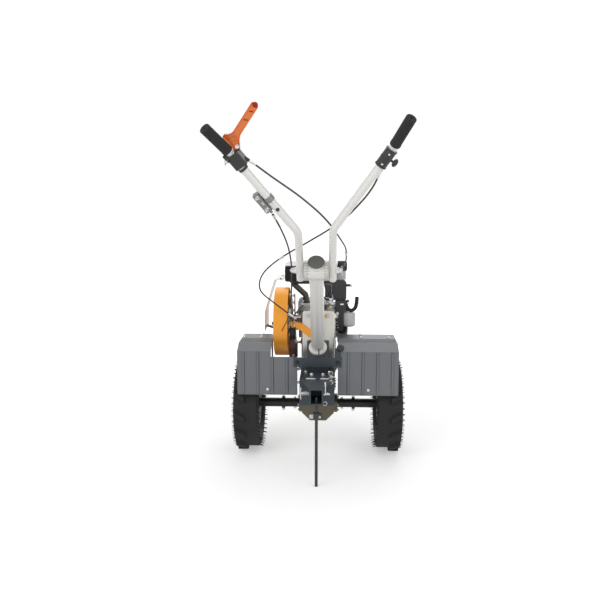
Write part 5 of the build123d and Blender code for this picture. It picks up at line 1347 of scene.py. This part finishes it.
class DRESS_OT_intake(bpy.types.Operator):
    """Seams, clips and terminals of filter and duct, rims of the hose, carburettor and crankcase parts"""
    bl_idname = "dress.intake"
    bl_label = "Intake details"

    filter_corners = ((59, 455), (123, 455), (123, 541), (59, 541))
    filter_grooves = (468, 482, 496)
    terminals = ((80, 358), (83, 346), (86, 333))
    cup = (136, 82)
    cup_rings = ((394, 29.4), (352, 29.3))
    carburettor = (48, 84)
    crankcase_ribs = (-70, -20, 30, 70)
    fuel_hose = ((24, 130, 541), (28, 112, 516), (36, 96, 486), (46, 86, 462))

    def execute(self, context):
        self.filter_trim()
        self.hose()
        self.carburettor_parts()
        self.crankcase()
        return {"FINISHED"}

    def filter_trim(self):
        lid = Form()
        outline = rounded(self.filter_corners, (10,) * 4)
        lid.tube([(p.x, 106, p.y) for p in outline], 1.8, 8, closed=True)
        lid.slab((91, 83, 520), (40.0, 3.0, 12.0), edge=1.0)
        for z in self.filter_grooves:
            lid.slab((91, 83.2, z), (46.0, 2.4, 3.0), edge=0.8)
        piece("filter_seams", lid, "black_plastic", "frame")
        clips = Form().turned((150, 102, 522), X_WAY, ((-8, 6.6), (-1, 6.6), (0, 6.2)), 20)
        clips.slab((104, 61.2, 440), (15.0, 2.0, 7.0), (1, 0, -0.3), Z_WAY, 0.6)
        clips.bolt((84, 61.8, 398), BACK_WAY, 9.0)
        piece("duct_clips", clips, "bright_zinc", "frame")
        cream = Form()
        for index, (x, z) in enumerate(self.terminals):
            cream.slab((x, 61.0, z), (9.0 - index, 3.0, 9.0), (1, 0, 0.3), BACK_WAY, 0.8)
        piece("duct_terminals", cream, "cream_plastic", "frame")

    def hose(self):
        rims = Form().ring((172.5, 92, 442), (0.05, 0, 1), 7.3, 1.4, 8, 28)
        rims.ring((128.5, 92, 434), (1, 0, -0.8), 9.2, 1.3, 8, 28)
        piece("hose_rims", rims, "soft_rubber", "frame")
        rings = Form()
        for z, radius in self.cup_rings:
            rings.ring((*self.cup, z), Z_WAY, radius, 0.9, 6, 48)
        piece("cup_rings", rings, "cup_clear", "frame")

    def carburettor_parts(self):
        profile = ((0, 8), (7, 8), (8, 5.5), (13, 5.5), (13.4, 1))
        jets = Form().turned((33, CASE_BACK + 1, 414), BACK_WAY, profile, 6)
        jets.turned((*self.carburettor, 402), (0, 0, -1), ((0, 5), (8, 5), (8.6, 1)), 6)
        jets.bolt((48, 64, 438), BACK_WAY, 9.0)
        piece("carburettor_jets", jets, "brass", "frame")
        profile = ((0, 21), (6, 21), (7, 19), (17, 18), (20, 13), (20.4, 1))
        bowl = Form().turned((*self.carburettor, 420), (0, 0, -1), profile, 32)
        bowl.slab((40, 62, 452), (34.0, 3.0, 8.0), (1, 0, 0.4), BACK_WAY, 0.8)
        bowl.rod((30, 66, 470), (66, 66, 462), 2.2)
        bowl.rod((62, 70, 420), (62, 70, 480), 2.0)
        piece("carburettor_bowl", bowl, "engine_alloy", "frame")

    def crankcase(self):
        block = Form()
        for x in self.crankcase_ribs:
            block.slab((x, 127, 300), (5.0, 6.0, 50.0), edge=1.4)
        piece("crankcase_ribs", block, "engine_alloy", "frame")
        profile = ((-2, 9), (3, 9), (4, 13), (14, 13), (16, 11), (16.4, 1))
        dark = Form().turned((62, 128, 300), (0, -1, 0.3), profile, 20)
        dark.slab((20, 120, 445), (56.0, 30.0, 42.0), edge=4.0)
        dark.slab((42, 100, 493), (30.0, 3.0, 68.0), edge=0.8)
        dark.tube(self.fuel_hose, 4.5, 10)
        piece("engine_fillers", dark, "black_plastic", "frame")


class DRESS_OT_starter(bpy.types.Operator):
    """Rim, bolts and pull handle of the recoil starter"""
    bl_idname = "dress.starter"
    bl_label = "Starter details"

    centre = (200, 350)
    bolt_circle = 88
    handle_radii = (4.5, 7.0, 7.6, 7.6, 7.0, 4.5)

    def execute(self, context):
        ring = Form().ring((92, *self.centre), X_WAY, 84.4, 2.2, 8, 80)
        handle = []
        for index in range(len(self.handle_radii)):
            share = index / (len(self.handle_radii) - 1)
            handle.append((128 + 5 * math.sin(share * math.pi), 150 + 44 * share, 442 - 4 * share))
        ring.tube(handle, self.handle_radii, 16)
        ring.rod((122, 172, 422), (129, 172, 441), 5.0)
        piece("starter_ring", ring, "black_plastic", "frame")
        bolts = Form()
        for index in range(4):
            angle = math.radians(45 + 90 * index)
            y = self.centre[0] + self.bolt_circle * math.cos(angle)
            z = self.centre[1] + self.bolt_circle * math.sin(angle)
            bolts.bolt((94, y, z), X_WAY, 9.0)
            bolts.rod((86, y, z), (94, y, z), 7.0)
        piece("starter_bolts", bolts, "bright_zinc", "frame")
        return {"FINISHED"}


class DRESS_OT_front(bpy.types.Operator):
    """Bolts and welds of the engine frame and the bumper"""
    bl_idname = "dress.front"
    bl_label = "Frame and bumper details"

    def execute(self, context):
        bolts = Form()
        welds = Form()
        for side in (-1, 1):
            bolts.bolts([(side * 84, y, 270) for y in (150, 262)], Z_WAY, 12.0)
            bolts.bolt((side * 50, 24.2, 258), (0, 1, 0), 11.0)
            welds.weld((side * 62, 350, 258), (0, 1, 0), 13.2, 2.6, 72, 18)
        piece("frame_bolts", bolts, "bright_zinc", "frame")
        piece("bumper_welds", welds, "black_paint", "frame", 60)
        return {"FINISHED"}


# In the order in which they are made
OPERATORS = (
    DRESS_OT_stage, DRESS_OT_cables, DRESS_OT_carried, DRESS_OT_tyres, DRESS_OT_grips, DRESS_OT_lever,
    DRESS_OT_handlebar, DRESS_OT_column, DRESS_OT_fenders, DRESS_OT_hitch, DRESS_OT_gearbox,
    DRESS_OT_guard, DRESS_OT_linkage, DRESS_OT_head, DRESS_OT_tank, DRESS_OT_intake, DRESS_OT_starter,
    DRESS_OT_front,
)


class DRESS_PT_panel(bpy.types.Panel):
    """Lists the colours, the sizes and the pieces"""
    bl_idname = "DRESS_PT_panel"
    bl_label = "Hand tractor"
    bl_space_type = "VIEW_3D"
    bl_region_type = "UI"
    bl_category = "Hand tractor"

    def draw(self, context):
        look = context.scene.hand_tractor
        for name in Look.__annotations__:
            self.layout.prop(look, name)
        for item in OPERATORS:
            self.layout.operator(item.bl_idname)


def register():
    bpy.utils.register_class(Look)
    bpy.types.Scene.hand_tractor = PointerProperty(type=Look)
    for item in (*OPERATORS, DRESS_PT_panel):
        bpy.utils.register_class(item)


def unregister():
    for item in (DRESS_PT_panel, *reversed(OPERATORS)):
        bpy.utils.unregister_class(item)
    del bpy.types.Scene.hand_tractor
    bpy.utils.unregister_class(Look)


def main():
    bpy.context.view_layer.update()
    register()
    for item in OPERATORS:
        getattr(bpy.ops.dress, item.bl_idname.split(".")[1])()


if __name__ == "__main__":
    main()
